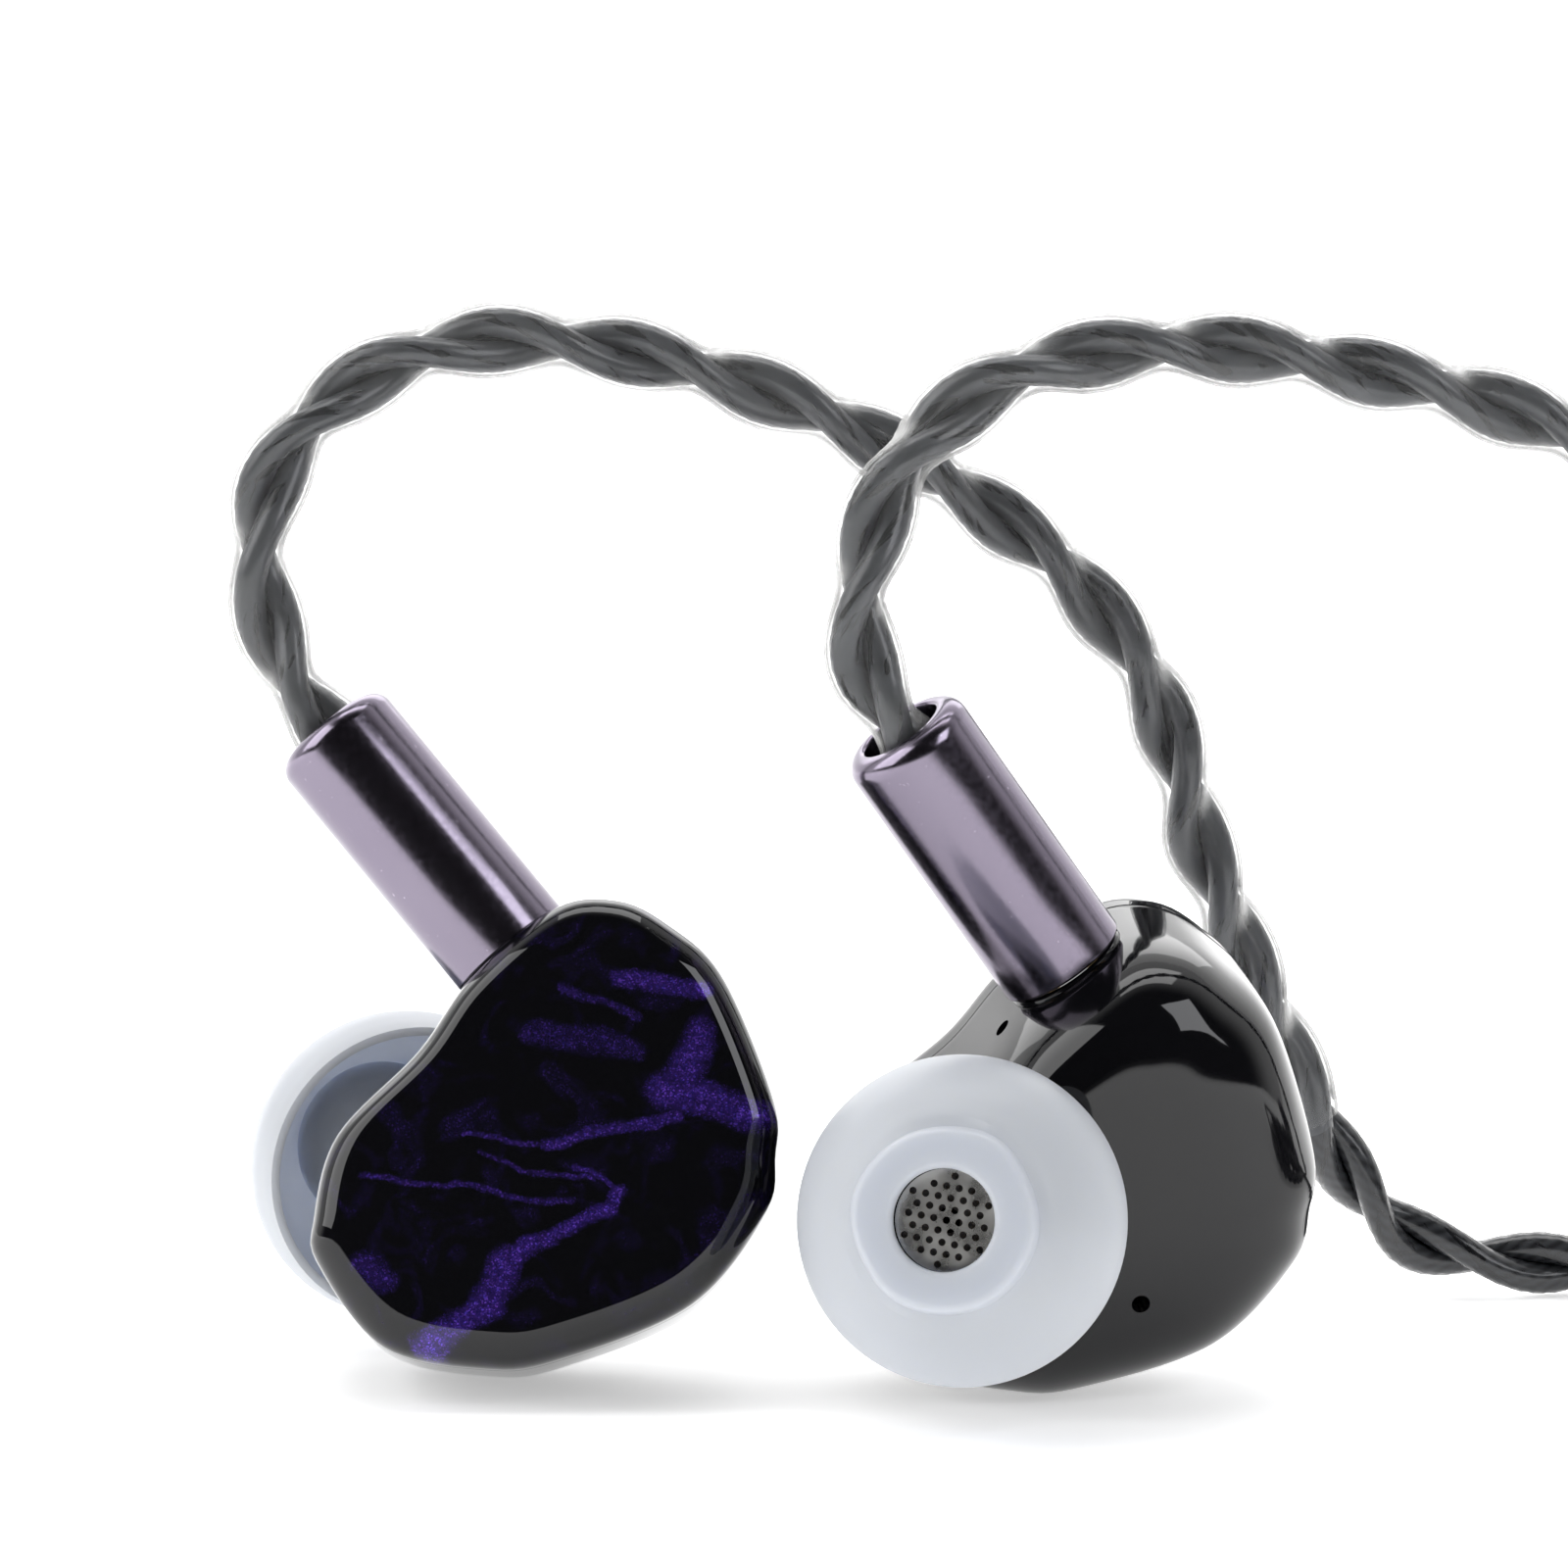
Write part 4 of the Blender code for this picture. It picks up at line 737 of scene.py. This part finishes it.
def make_faceplate(side, looks):
    flat = SEAM - PLATE_THICKNESS
    spigot = inset(WALL + 0.12)
    rings = [section(SEAM + 0.6, spigot), section(SEAM, spigot), section(SEAM - 0.01, 1 - 0.004)]
    rings.append(section(SEAM - 0.03, 1.0))
    steps = 20
    for k in range(steps + 1):
        angle = math.radians(90 * k / steps)
        depth = flat + PLATE_ROUND * (1 - math.sin(angle) ** 0.9)
        rings.append(section(depth, inset(PLATE_ROUND * (1 - math.cos(angle) ** 0.9)), 0.0))
    last = inset(PLATE_ROUND)
    for k in range(1, 14):
        share = last * (1 - k / 14)
        rise = PLATE_CROWN * (1 - (share / last) ** 2)
        rings.append(section(flat - rise, share, 0.0))
    look = swirl_resin(side.name + "_swirl_resin", side.place.inverted(), 0.0 if side.sign > 0 else 7.3)
    side.add("face", loft(rings), UNMOVED, "earpiece", look, "violet_resin", "faceplate")


def make_mesh_disc(side, looks):
    """A thin disc with round holes in a triangular grid, their walls in a second material."""
    top, low = NOZZLE_LENGTH, NOZZLE_LENGTH - 0.12
    centres = []
    rows = math.ceil(MESH_RADIUS / HOLE_PITCH / ROW_SHARE)
    for row in range(-rows, rows + 1):
        for column in range(-rows, rows + 1):
            x = (column + 0.5 * (row % 2)) * HOLE_PITCH
            y = row * HOLE_PITCH * ROW_SHARE
            if math.hypot(x, y) < MESH_RADIUS - MESH_HOLE - 0.06:
                centres.append((x, y))
    bm = bmesh.new()
    loops = [ring_of(bm, (0, 0), MESH_RADIUS, 64, top)]
    loops += [ring_of(bm, centre, MESH_HOLE, 12, top) for centre in centres]
    edges = [edge for loop in loops for edge in loop_edges(bm, loop)]
    filled = bmesh.ops.triangle_fill(bm, use_beauty=True, edges=edges, normal=(0, 0, 1))
    tops = [face for face in filled["geom"] if isinstance(face, bmesh.types.BMFace)]
    copies = {vert: bm.verts.new((vert.co.x, vert.co.y, low * MM)) for loop in loops for vert in loop}
    for face in tops:
        bm.faces.new([copies[vert] for vert in reversed(face.verts)])
    for number, loop in enumerate(loops):
        for a, b in zip(loop, loop[1:] + loop[:1]):
            wall = bm.faces.new((a, b, copies[b], copies[a]))
            wall.material_index = 1 if number else 0
    pair = [looks["steel"], looks["rim"]]
    side.add("mesh_disc", outward(bm), nozzle_frame(), "earpiece", pair, "steel_mesh", "nozzle_mesh")


def ring_of(bm, centre, radius, count, height):
    angles = [2 * math.pi * k / count for k in range(count)]
    return [
        bm.verts.new(mm(centre[0] + radius * math.cos(a), centre[1] + radius * math.sin(a), height))
        for a in angles
    ]


def loop_edges(bm, loop):
    return [bm.edges.new((a, b)) for a, b in zip(loop, loop[1:] + loop[:1])]


def make_ear_tip(side, looks):
    """A core that grips the nozzle, a raised ring at its mouth, and a skirt that turns back from it."""
    inner = LIP_RADIUS + 0.12
    outer = inner + TIP_CORE_WALL
    front = TIP_FRONT
    knots = [
        (TIP_RADIUS - 0.30, TIP_REAR), (TIP_RADIUS - 0.12, TIP_REAR + 0.8), (TIP_RADIUS, TIP_WIDEST),
        (TIP_RADIUS - 0.35, 6.55), (TIP_RADIUS - 1.15, 7.95), (TIP_RADIUS - 2.05, 8.85), (3.95, 9.25),
    ]
    skirt = [(p.x, p.y) for p in spline(knots, 6)]
    lining = []
    for r, h in reversed(skirt):
        lining.append((r - TIP_WALL * (0.75 + 0.05 * h / 3), h - TIP_WALL * 0.45 * (h - TIP_REAR) / 6))
    ring = [(TIP_RING + 0.12, 9.45)] + arc(TIP_RING - 0.32, front - 0.32, 0.32, 10, 90, 6)
    mouth = arc(TIP_BORE + 0.25, front - 0.25, 0.25, 90, 180, 5)
    profile = [
        *mouth,
        (TIP_BORE, NOZZLE_LENGTH + 0.4),
        (inner, NOZZLE_LENGTH + 0.12),
        (inner, TIP_REAR + 0.35),
        (inner + 0.1, TIP_REAR + 0.2),
        (outer - 0.1, TIP_REAR + 0.2),
        (outer, TIP_REAR + 0.35),
        (outer, 7.4),
        (outer + 0.15, 8.1),
        *[point for point in lining if point[0] > outer + 0.2],
        *skirt,
        *ring,
    ]
    bm = lathe(profile, 128)
    for vert in bm.verts:
        angle = math.atan2(vert.co.y, vert.co.x)
        radius = math.hypot(vert.co.x, vert.co.y) / MM
        height = vert.co.z / MM
        if height > 9.2 and 3.0 < radius < 4.2:
            wobble = 0.008 * math.cos(6 * angle + 0.6) + 0.010 * math.cos(4 * angle - 1.0)
            wobble += 0.008 * math.cos(3 * angle)
            vert.co.x *= 1 + wobble
            vert.co.y *= 1 + wobble
    side.add("soft_tip", bm, nozzle_frame(), "tip", looks["silicone"], "white_silicone", "ear_tip")


def make_barrel(side, looks):
    radius, bore = BARREL_RADIUS, BARREL_RADIUS - BARREL_WALL
    profile = [(bore, 0.1), (bore + 0.08, 0)] + arc(radius - 0.12, 0.12, 0.12, -90, 0)
    profile += [(radius, h) for h in (3, 6, 9)]
    profile += arc(radius - BARREL_ROUND, BARREL_LENGTH - BARREL_ROUND, BARREL_ROUND, 0, 88, 12)
    profile += arc(HOLE_RADIUS + 0.15, BARREL_LENGTH - 0.15, 0.15, 90, 180, 4)
    profile += [(HOLE_RADIUS, BARREL_LENGTH - 4.0), (bore, BARREL_LENGTH - 4.4)]
    metal = gunmetal(side.name + "_violet_gunmetal")
    side.add("barrel", lathe(profile, 128), connector_frame(), "cable", metal, "violet_gunmetal", "connector_barrel")


# ---- Cable ----

STRAND_RADIUS = 0.68
STRAND_OFFSET = 0.67
TWIST_PITCH = 11.4
PATH_SPACING = 0.5

LEFT_ROUTE = [
    (-15.97, 4.56, 23.82), (-18.52, 5.27, 26.83), (-19.73, 5.58, 28.5), (-20.63, 5.88, 30.9),
    (-20.98, 6.13, 33.5), (-20.53, 6.43, 36.2), (-18.63, 6.88, 39.1), (-15.23, 7.28, 41.3),
    (-11.33, 7.58, 42.15), (-7.43, 7.98, 41.9), (-3.83, 8.28, 41.15), (-0.13, 8.68, 39.95),
    (3.47, 9.08, 38.4), (6.77, 9.68, 36.5), (9.77, 10.38, 34.5), (12.37, 11.18, 32.3),
    (14.57, 11.98, 29.7), (16.17, 12.68, 27.0), (17.17, 13.68, 24.0), (17.97, 14.68, 21.2),
    (19.07, 15.78, 18.2), (20.17, 16.88, 15.5), (21.37, 17.98, 12.7), (22.77, 19.18, 9.7),
    (24.47, 20.38, 6.5), (25.87, 21.28, 4.3), (27.67, 21.98, 2.7), (29.97, 22.38, 1.8),
    (33.57, 22.58, 1.4), (40.57, 22.78, 1.4), (48.57, 23.98, 1.4), (56.57, 25.98, 1.4),
    (64.57, 27.98, 1.4), (72.57, 28.88, 1.4), (82.57, 28.98, 1.4), (96.57, 28.98, 1.4),
    (111.57, 28.98, 1.6), (122.37, 26.08, 1.9), (130.27, 18.18, 2.1), (133.07, 7.43, 2.3),
    (130.27, -3.32, 2.3), (122.37, -11.22, 2.3), (111.57, -14.12, 2.3), (101.57, -14.12, 2.3),
    (91.57, -14.12, 2.3), (81.57, -14.12, 2.3), (72.67, -11.72, 2.4), (66.17, -5.22, 2.6),
    (63.77, 3.68, 2.8), (66.17, 12.58, 3.1), (72.67, 18.98, 3.3), (79.57, 21.38, 3.3),
    (84.57, 21.48, 3.3), (91.57, 21.48, 3.3), (100.27, 21.48, 3.3),
]
RIGHT_ROUTE = [
    (7.04, -3.64, 24.42), (4.82, -4.48, 27.64), (3.97, -4.77, 29.2), (3.57, -4.92, 31.2),
    (3.77, -4.82, 33.6), (4.97, -4.22, 37.1), (7.47, -3.42, 39.8), (10.57, -2.72, 41.45),
    (14.57, -1.92, 42.15), (18.67, -1.12, 42.1), (22.67, -0.32, 41.45), (26.77, 0.48, 40.5),
    (30.87, 1.28, 39.2), (34.47, 2.08, 37.4), (37.77, 2.88, 35.0), (40.67, 3.78, 31.9),
    (42.97, 4.78, 28.4), (44.67, 5.88, 24.8), (46.07, 7.28, 21.0), (47.47, 8.98, 17.3),
    (49.17, 10.98, 13.9), (51.27, 13.38, 11.0), (53.87, 16.58, 8.6), (56.87, 20.38, 6.8),
    (60.37, 24.58, 5.5), (64.17, 28.58, 4.7), (68.57, 31.18, 3.3), (74.07, 32.38, 1.9),
    (80.57, 32.48, 1.4), (88.57, 32.28, 1.4), (98.57, 32.18, 1.4), (111.57, 32.38, 1.6),
    (124.37, 29.18, 1.9), (133.57, 20.08, 2.1), (136.97, 7.43, 2.3), (133.57, -5.22, 2.3),
    (124.37, -14.42, 2.3), (111.57, -17.62, 2.3), (103.57, -17.32, 2.3), (96.57, -17.22, 2.3),
    (89.57, -17.32, 2.3), (81.57, -17.52, 2.3), (70.87, -14.82, 2.4), (62.97, -7.02, 2.6),
    (60.07, 3.68, 2.8), (62.97, 14.38, 3.1), (70.77, 22.18, 3.3), (78.57, 24.68, 3.3),
    (84.57, 24.58, 3.3), (91.57, 24.48, 3.3), (100.27, 24.48, 3.3),
]
SLEEVED = 80.5
SLEEVE_START = 4  # the sleeve's first point along the branch
LEAD_IN = [
    (113.87, 22.98, 3.3), (117.07, 22.58, 3.2), (121.07, 20.38, 3.0), (125.17, 15.98, 2.75),
    (127.87, 10.18, 2.5), (128.87, 4.18, 2.3),
]
LEAD_OUT = [
    (67.87, 7.38, 8.3), (69.77, 11.58, 8.6), (73.57, 14.28, 9.3), (78.57, 14.78, 9.9),
    (83.27, 14.58, 10.0),
]
HANK_CENTRE = (96.57, 3.38)
HANK_HALF_RUN = 15.0
OUTER_COLUMN = 14.0
COLUMN_STEP = OUTER_COLUMN - 11.2
LAYERS = (2.3, 5.1)


def oval_place(turn, radius, z):
    """A place on the hank's oval, going clockwise from its right end, a whole turn from 0 to 1."""
    turn = turn % 1.0
    bend = math.pi * radius
    straight = 2 * HANK_HALF_RUN
    at = turn * (2 * bend + 2 * straight)
    cx, cy = HANK_CENTRE
    left, right = cx - HANK_HALF_RUN, cx + HANK_HALF_RUN

    def on_bend(middle, angle):
        return Vector((middle + radius * math.cos(angle), cy + radius * math.sin(angle), z))

    if at < bend / 2:
        return on_bend(right, -at / radius)
    at -= bend / 2
    if at < straight:
        return Vector((right - at, cy - radius, z))
    at -= straight
    if at < bend:
        return on_bend(left, -math.pi / 2 - at / radius)
    at -= bend
    if at < straight:
        return Vector((left + at, cy + radius, z))
    return on_bend(right, math.pi / 2 - (at - straight) / radius)


def ease(value, start, end):
    share = max(0.0, min(1.0, (value - start) / (end - start)))
    return share * share * (3 - 2 * share)


def main_line():
    """The main cable: out of the splitter, three turns inward, two and a half outward on top, to the plug."""
    points = [Vector(point) for point in LEAD_IN]
    start, end = 0.10, 5.46
    steps = round((end - start) / 0.04)
    for k in range(steps + 1):
        turn = start + (end - start) * k / steps
        radius = OUTER_COLUMN
        for change in (1, 2):
            radius -= COLUMN_STEP * ease(turn, change - 0.14, change + 0.02)
            radius += COLUMN_STEP * ease(turn, change + 2.98, change + 3.14)
        radius += 1.6 * (1 - ease(turn, 0.0, 0.16))
        height = LAYERS[0] + (LAYERS[1] - LAYERS[0]) * ease(turn, 2.92, 3.06)
        height += 3.0 * ease(turn, 5.28, 5.47)
        points.append(oval_place(turn, radius, height))
    return points + [Vector(point) for point in LEAD_OUT]


def turning_frames(line):
    """Two directions across the line at each point, carried along it without twist."""
    across = None
    frames = []
    for i, point in enumerate(line):
        ahead = (line[min(i + 1, len(line) - 1)] - line[max(i - 1, 0)]).normalized()
        if across is None:
            across = ahead.orthogonal().normalized()
        across = (across - ahead * across.dot(ahead)).normalized()
        frames.append((point, across, ahead.cross(across)))
    return frames


def tube_rings(frames, turn_of, offset, radius, count=12):
    """A strand's rings: a small circle set off from the line, at a turn that grows along it."""
    rings = []
    for i, (point, a, b) in enumerate(frames):
        turn = turn_of(i)
        middle = point + (a * math.cos(turn) + b * math.sin(turn)) * offset
        angles = [turn + 2 * math.pi * k / count for k in range(count)]
        rings.append([(middle + (a * math.cos(t) + b * math.sin(t)) * radius) * MM for t in angles])
    return rings


def strand_pair(line, first_turn, covered=0):
    """Two strands twisted round a line, each a closed tube; past the covered rings the second look starts."""
    bm = bmesh.new()
    layer = bm.loops.layers.uv.new("along")
    frames = turning_frames(line)
    spacing = (line[1] - line[0]).length
    for phase in (0.0, math.pi):
        def turn_of(i):
            return first_turn + phase + 2 * math.pi * i * spacing / TWIST_PITCH
        rows = rows_of(bm, tube_rings(frames, turn_of, STRAND_OFFSET, STRAND_RADIUS))
        count = len(rows[0])
        for n, (low, high) in enumerate(zip(rows, rows[1:])):
            for i in range(count):
                j = (i + 1) % count
                face = bm.faces.new((low[i], low[j], high[j], high[i]))
                spots = ((n, i), (n, i + 1), (n + 1, i + 1), (n + 1, i))
                face.material_index = 0 if n < covered else 1
                for loop, (along, around) in zip(face.loops, spots):
                    loop[layer].uv = (along * spacing / 4.0, around / count)
        cap(bm, rows[0], 1)
        cap(bm, rows[-1], 1)
    return outward(bm)


SLEEVE_WIDE, SLEEVE_THICK, SLEEVE_POWER, SLEEVE_WALL = 1.58, 1.02, 2.3, 0.10


def sleeve_mesh(line, first_turn):
    """A clear skin drawn tight over both strands: a rounded section that turns with them."""
    frames = turning_frames(line)
    spacing = (line[1] - line[0]).length
    rings = []
    count = 40
    for i, (point, a, b) in enumerate(frames):
        turn = first_turn + 2 * math.pi * i * spacing / TWIST_PITCH
        u = a * math.cos(turn) + b * math.sin(turn)
        v = b * math.cos(turn) - a * math.sin(turn)
        mouth = 1 + 0.04 * math.exp(-i * spacing / 1.5) + 0.06 * math.exp(-(len(frames) - 1 - i) * spacing / 1.2)
        ring = []
        for k in range(count):
            angle = 2 * math.pi * k / count
            shape = Vector((math.cos(angle), math.sin(angle)))
            bulge = abs(shape.x / SLEEVE_WIDE) ** SLEEVE_POWER + abs(shape.y / SLEEVE_THICK) ** SLEEVE_POWER
            wide = bulge ** (-1 / SLEEVE_POWER)
            ring.append((point + (u * shape.x + v * shape.y) * wide * mouth) * MM)
        rings.append(ring)
    inner = []
    for ring in rings:
        middle = sum(ring, Vector()) / len(ring)
        inner.append([point + (middle - point).normalized() * SLEEVE_WALL * MM for point in ring])
    return ring_body(rings + inner[::-1])


def make_branch(name, route, first_turn, looks):
    line = even(spline(route, 24), spacing=PATH_SPACING)
    nodes = (name + "_ear_hook", name + "_branch_cable")
    last = round(SLEEVED / PATH_SPACING)
    both = [looks["strand"], looks["bare"]]
    strands = strand_pair(line, first_turn, last)
    cable = piece(name + "_branch", strands, "cable", both, "charcoal_jacket", nodes, 60)
    turn = first_turn + 2 * math.pi * SLEEVE_START * (line[1] - line[0]).length / TWIST_PITCH
    tube = sleeve_mesh(line[SLEEVE_START:last], turn)
    sleeve = piece(name + "_clear_sleeve", tube, "cable", looks["sleeve"], "clear_sleeve", (), 60)


def make_main_cable(looks):
    line = even(spline(main_line(), 24), spacing=PATH_SPACING)
    nodes = ("main_lead_in", "main_cable_hank", "main_lead_out")
    both = [looks["strand"], looks["bare"]]
    cable = piece("main_cable", strand_pair(line, 0.0), "cable", both, "charcoal_jacket", nodes, 60)


# ---- Splitter, slider, tie and plug ----


def along_x(x, y, z):
    return axis_frame((x, y, z), (1, 0, 0), near=(0, 0, 1))


def box_loop(width, height, radius, x, centre, steps=8):
    points = []
    for corner in range(4):
        side_y = (1, -1, -1, 1)[corner] * (width / 2 - radius)
        side_z = (1, 1, -1, -1)[corner] * (height / 2 - radius)
        for k in range(steps + 1):
            angle = math.radians(90 * corner + 90 * k / steps)
            y = centre[0] + side_y + radius * math.cos(angle)
            points.append(mm(x, y, centre[1] + side_z + radius * math.sin(angle)))
    return points


LANE = (22.98, 3.3)
SPLITTER_X, PLUG_PLACE = 100.57, (83.57, 14.58, 10.0)


def make_splitter(looks):
    radius, length = 3.2, 13.0
    profile = [(0, 0.6), (radius - 1.0, 0.6), (radius - 0.55, 0.1)]
    profile += arc(radius - 0.5, 0.5, 0.5, -80, 0, 8)
    for groove in (3.0, 3.8):
        profile += [(radius, groove), (radius - 0.15, groove + 0.1)]
        profile += [(radius - 0.15, groove + 0.3), (radius, groove + 0.4)]
    profile += [(radius, 6.5), (radius, length - 4.0)]
    profile += arc(radius - 1.5, length - 1.5, 1.5, 0, 80, 12)
    profile += [(1.65, length), (1.5, length - 1.0), (0, length - 1.0)]
    bm = lathe(profile, 96)
    bm.transform(along_x(SPLITTER_X, *LANE))
    metal = gunmetal("splitter_violet_gunmetal")
    piece("splitter_body", bm, "cable", metal, "violet_gunmetal", ("y_splitter",))


def make_slider(looks):
    start, end, bend = 92.07, 99.07, 0.5
    width, height, corner = 7.6, 6.4, 2.8
    hole = (3.0 + 3.04, 3.04)
    mouth = (hole[0] + 0.3, hole[1] + 0.3, 1.6)

    def outside(inset, x):
        return box_loop(width - 2 * inset, height - 2 * inset, corner - inset, x, LANE)

    quarter = [math.radians(15 * k) for k in range(7)]
    rows = [box_loop(*hole, 1.49, start + 0.15, LANE), box_loop(*mouth, start, LANE)]
    rows += [outside(bend * (1 - math.sin(a)), start + bend * (1 - math.cos(a))) for a in quarter]
    rows += [outside(0.0, x) for x in (94.4, 96.8)]
    rows += [outside(bend * (1 - math.cos(a)), end - bend * (1 - math.sin(a))) for a in quarter]
    rows += [box_loop(*mouth, end, LANE), box_loop(*hole, 1.49, end - 0.15, LANE)]
    metal = gunmetal("slider_violet_gunmetal")
    piece("slider_bead", ring_body(rows), "chin_slider", metal, "violet_gunmetal", ("chin_slider",))


def make_tie(looks):
    """A woven strap round the hank's front run and the two branches beside it, its edges rounded."""
    inner_y, outer_y = 3.38 - 7.0 + 0.3, -18.82
    top, bottom = 0.9 + 5.6 + 0.3, 0.9 - 0.3
    width = 8.0
    centre = ((inner_y + outer_y) / 2, (top + bottom) / 2)
    size = (inner_y - outer_y, top - bottom)
    start, end = HANK_CENTRE[0] - width / 2, HANK_CENTRE[0] + width / 2
    marks = [(start + 0.2, 0.0), (start, 0.2), (start, 0.4), (start + 0.2, 0.6)]
    marks += [(start + 1.0, 0.6), (start + 1.1, 0.52), (start + 1.2, 0.6)]
    marks += [(end - 1.2, 0.6), (end - 1.1, 0.52), (end - 1.0, 0.6)]
    marks += [(end - 0.2, 0.6), (end, 0.4), (end, 0.2), (end - 0.2, 0.0)]
    rows = [box_loop(size[0] + 2 * out, size[1] + 2 * out, 0.8 + out, x, centre) for x, out in marks]
    piece("hank_tie", ring_body(rows), "cable", looks["strap"], "black_strap", ("cable_tie",), 50)


def make_plug(looks):
    def turn(name, profile, look, slot, node):
        bm = lathe(profile, 96)
        bm.transform(along_x(*PLUG_PLACE))
        piece("plug_" + name, bm, "cable", look, slot, (node,))

    relief = [(0, 1.5), (1.5, 1.5), (1.6, 0.1), (1.7, 0)]
    for k in range(5):
        low = 0.4 + k * 1.35
        radius = 1.95 + (2.2 - 1.95) * k / 4
        relief += arc(radius - 0.2, low + 0.2, 0.2, -80, 0, 3) + arc(radius - 0.2, low + 0.7, 0.2, 0, 80, 3)
        relief += [(radius - 0.3, low + 0.95), (radius - 0.3, low + 1.25)]
    relief += [(2.2, 7.3), (2.2, 9.0), (0, 9.0)]
    turn("relief_boot", relief, looks["black"], "black_plastic", "plug_strain_relief")
    metal = gunmetal("plug_violet_gunmetal")
    barrel = [(0, 9.3), (2.7, 9.3)] + arc(2.7, 9.8, 0.5, -80, 0, 6) + [(3.2, 11.2), (3.08, 11.3), (3.08, 11.6)]
    barrel += [(3.2, 11.7), (3.2, 16.0), (3.2, 22.0)] + arc(2.8, 23.9, 0.4, 0, 90, 6) + [(0, 24.3)]
    turn("barrel_body", barrel, metal, "violet_gunmetal", "plug_barrel")
    gold = looks["gold"]
    for name, low, high in (("ground", 24.6, 30.6), ("ring", 31.2, 33.2)):
        band = [(1.02, low), (1.70, low), (1.75, low + 0.05), (1.75, high - 0.05), (1.70, high), (1.02, high)]
        turn(name + "_contact", band, gold, "gold_contact", "plug_" + name)
    core = [(0, 24.6), (0.9, 24.6), (0.9, 30.72), (1.70, 30.72), (1.70, 31.08), (0.9, 31.08), (0.9, 33.32)]
    core += [(1.70, 33.32), (1.70, 33.68), (0, 33.68)]
    turn("insulating_core", core, looks["black"], "black_plastic", "plug_insulator")
    tip = [(0, 33.8), (1.70, 33.8), (1.75, 33.85), (1.75, 34.4)]
    waist = [(1.75, 34.4), (1.26, 35.3), (1.55, 36.1), (1.75, 36.5), (1.4, 37.8)]
    tip += [(p.x, p.y) for p in spline(waist, 6)][1:] + [(1.1, 38.3), (0.62, 38.6), (0, 38.6)]
    turn("tip_contact", tip, gold, "gold_contact", "plug_tip")


# ---- Pieces that keep their solids ----

INNER_LOOKS = [
    ("damper", "foam"), ("socket_block", "black"), ("connector_insert", "black"), ("contact_", "gold"),
    ("pin_", "gold"), ("driver_frame", "black"), ("yoke", "iron"), ("pole_plate", "iron"), ("magnet", "magnet"),
    ("coil", "copper"), ("diaphragm", "film"), ("board", "board"), ("wire_a", "black"), ("wire_b", "red"),
]


def dress_inner_nodes(looks):
    for name, node in frame["nodes"].items():
        for word, look in INNER_LOOKS:
            if word in name and name.startswith(("left_", "right_")):
                for slot in range(len(node.data.materials)):
                    node.data.materials[slot] = looks[look].made
                break


def gunmetal(name):
    """Bead-blasted anodised metal with a fine grain and a few bright specks."""
    look = Look(name, (0.24, 0.21, 0.27), 0.18, 1.0)
    cloud = look.noise(240.0, 3.0)
    grain = look.noise(4200.0, 2.0)
    colour = look.mix(cloud, (0.220, 0.192, 0.250), (0.255, 0.225, 0.285))
    speck = look.span(grain, 0.70, 0.80, 0.0, 0.5)
    look.feed("Base Color", look.mix(speck, colour, (0.62, 0.56, 0.68)))
    look.feed("Roughness", look.span(grain, 0.3, 0.7, 0.15, 0.22))
    look.bump(grain, 0.04, 0.00001)
    return look


def main():
    make_camera()
    looks = make_looks()
    left = Side("left", 1, LEFT_CENTRE, LEFT_TURNS)
    right = Side("right", -1, RIGHT_CENTRE, RIGHT_TURNS)
    make_splitter(looks)
    make_slider(looks)
    make_tie(looks)
    make_plug(looks)
    make_branch("left", LEFT_ROUTE, 1.0, looks)
    make_branch("right", RIGHT_ROUTE, 2.0, looks)
    make_main_cable(looks)
    for side in (left, right):
        make_shell(side, looks)
        make_faceplate(side, looks)
        make_mesh_disc(side, looks)
        make_ear_tip(side, looks)
        make_barrel(side, looks)
    dress_inner_nodes(looks)
    make_floor()
    make_light()
    bpy.context.scene.view_settings.view_transform = "Standard"


main()
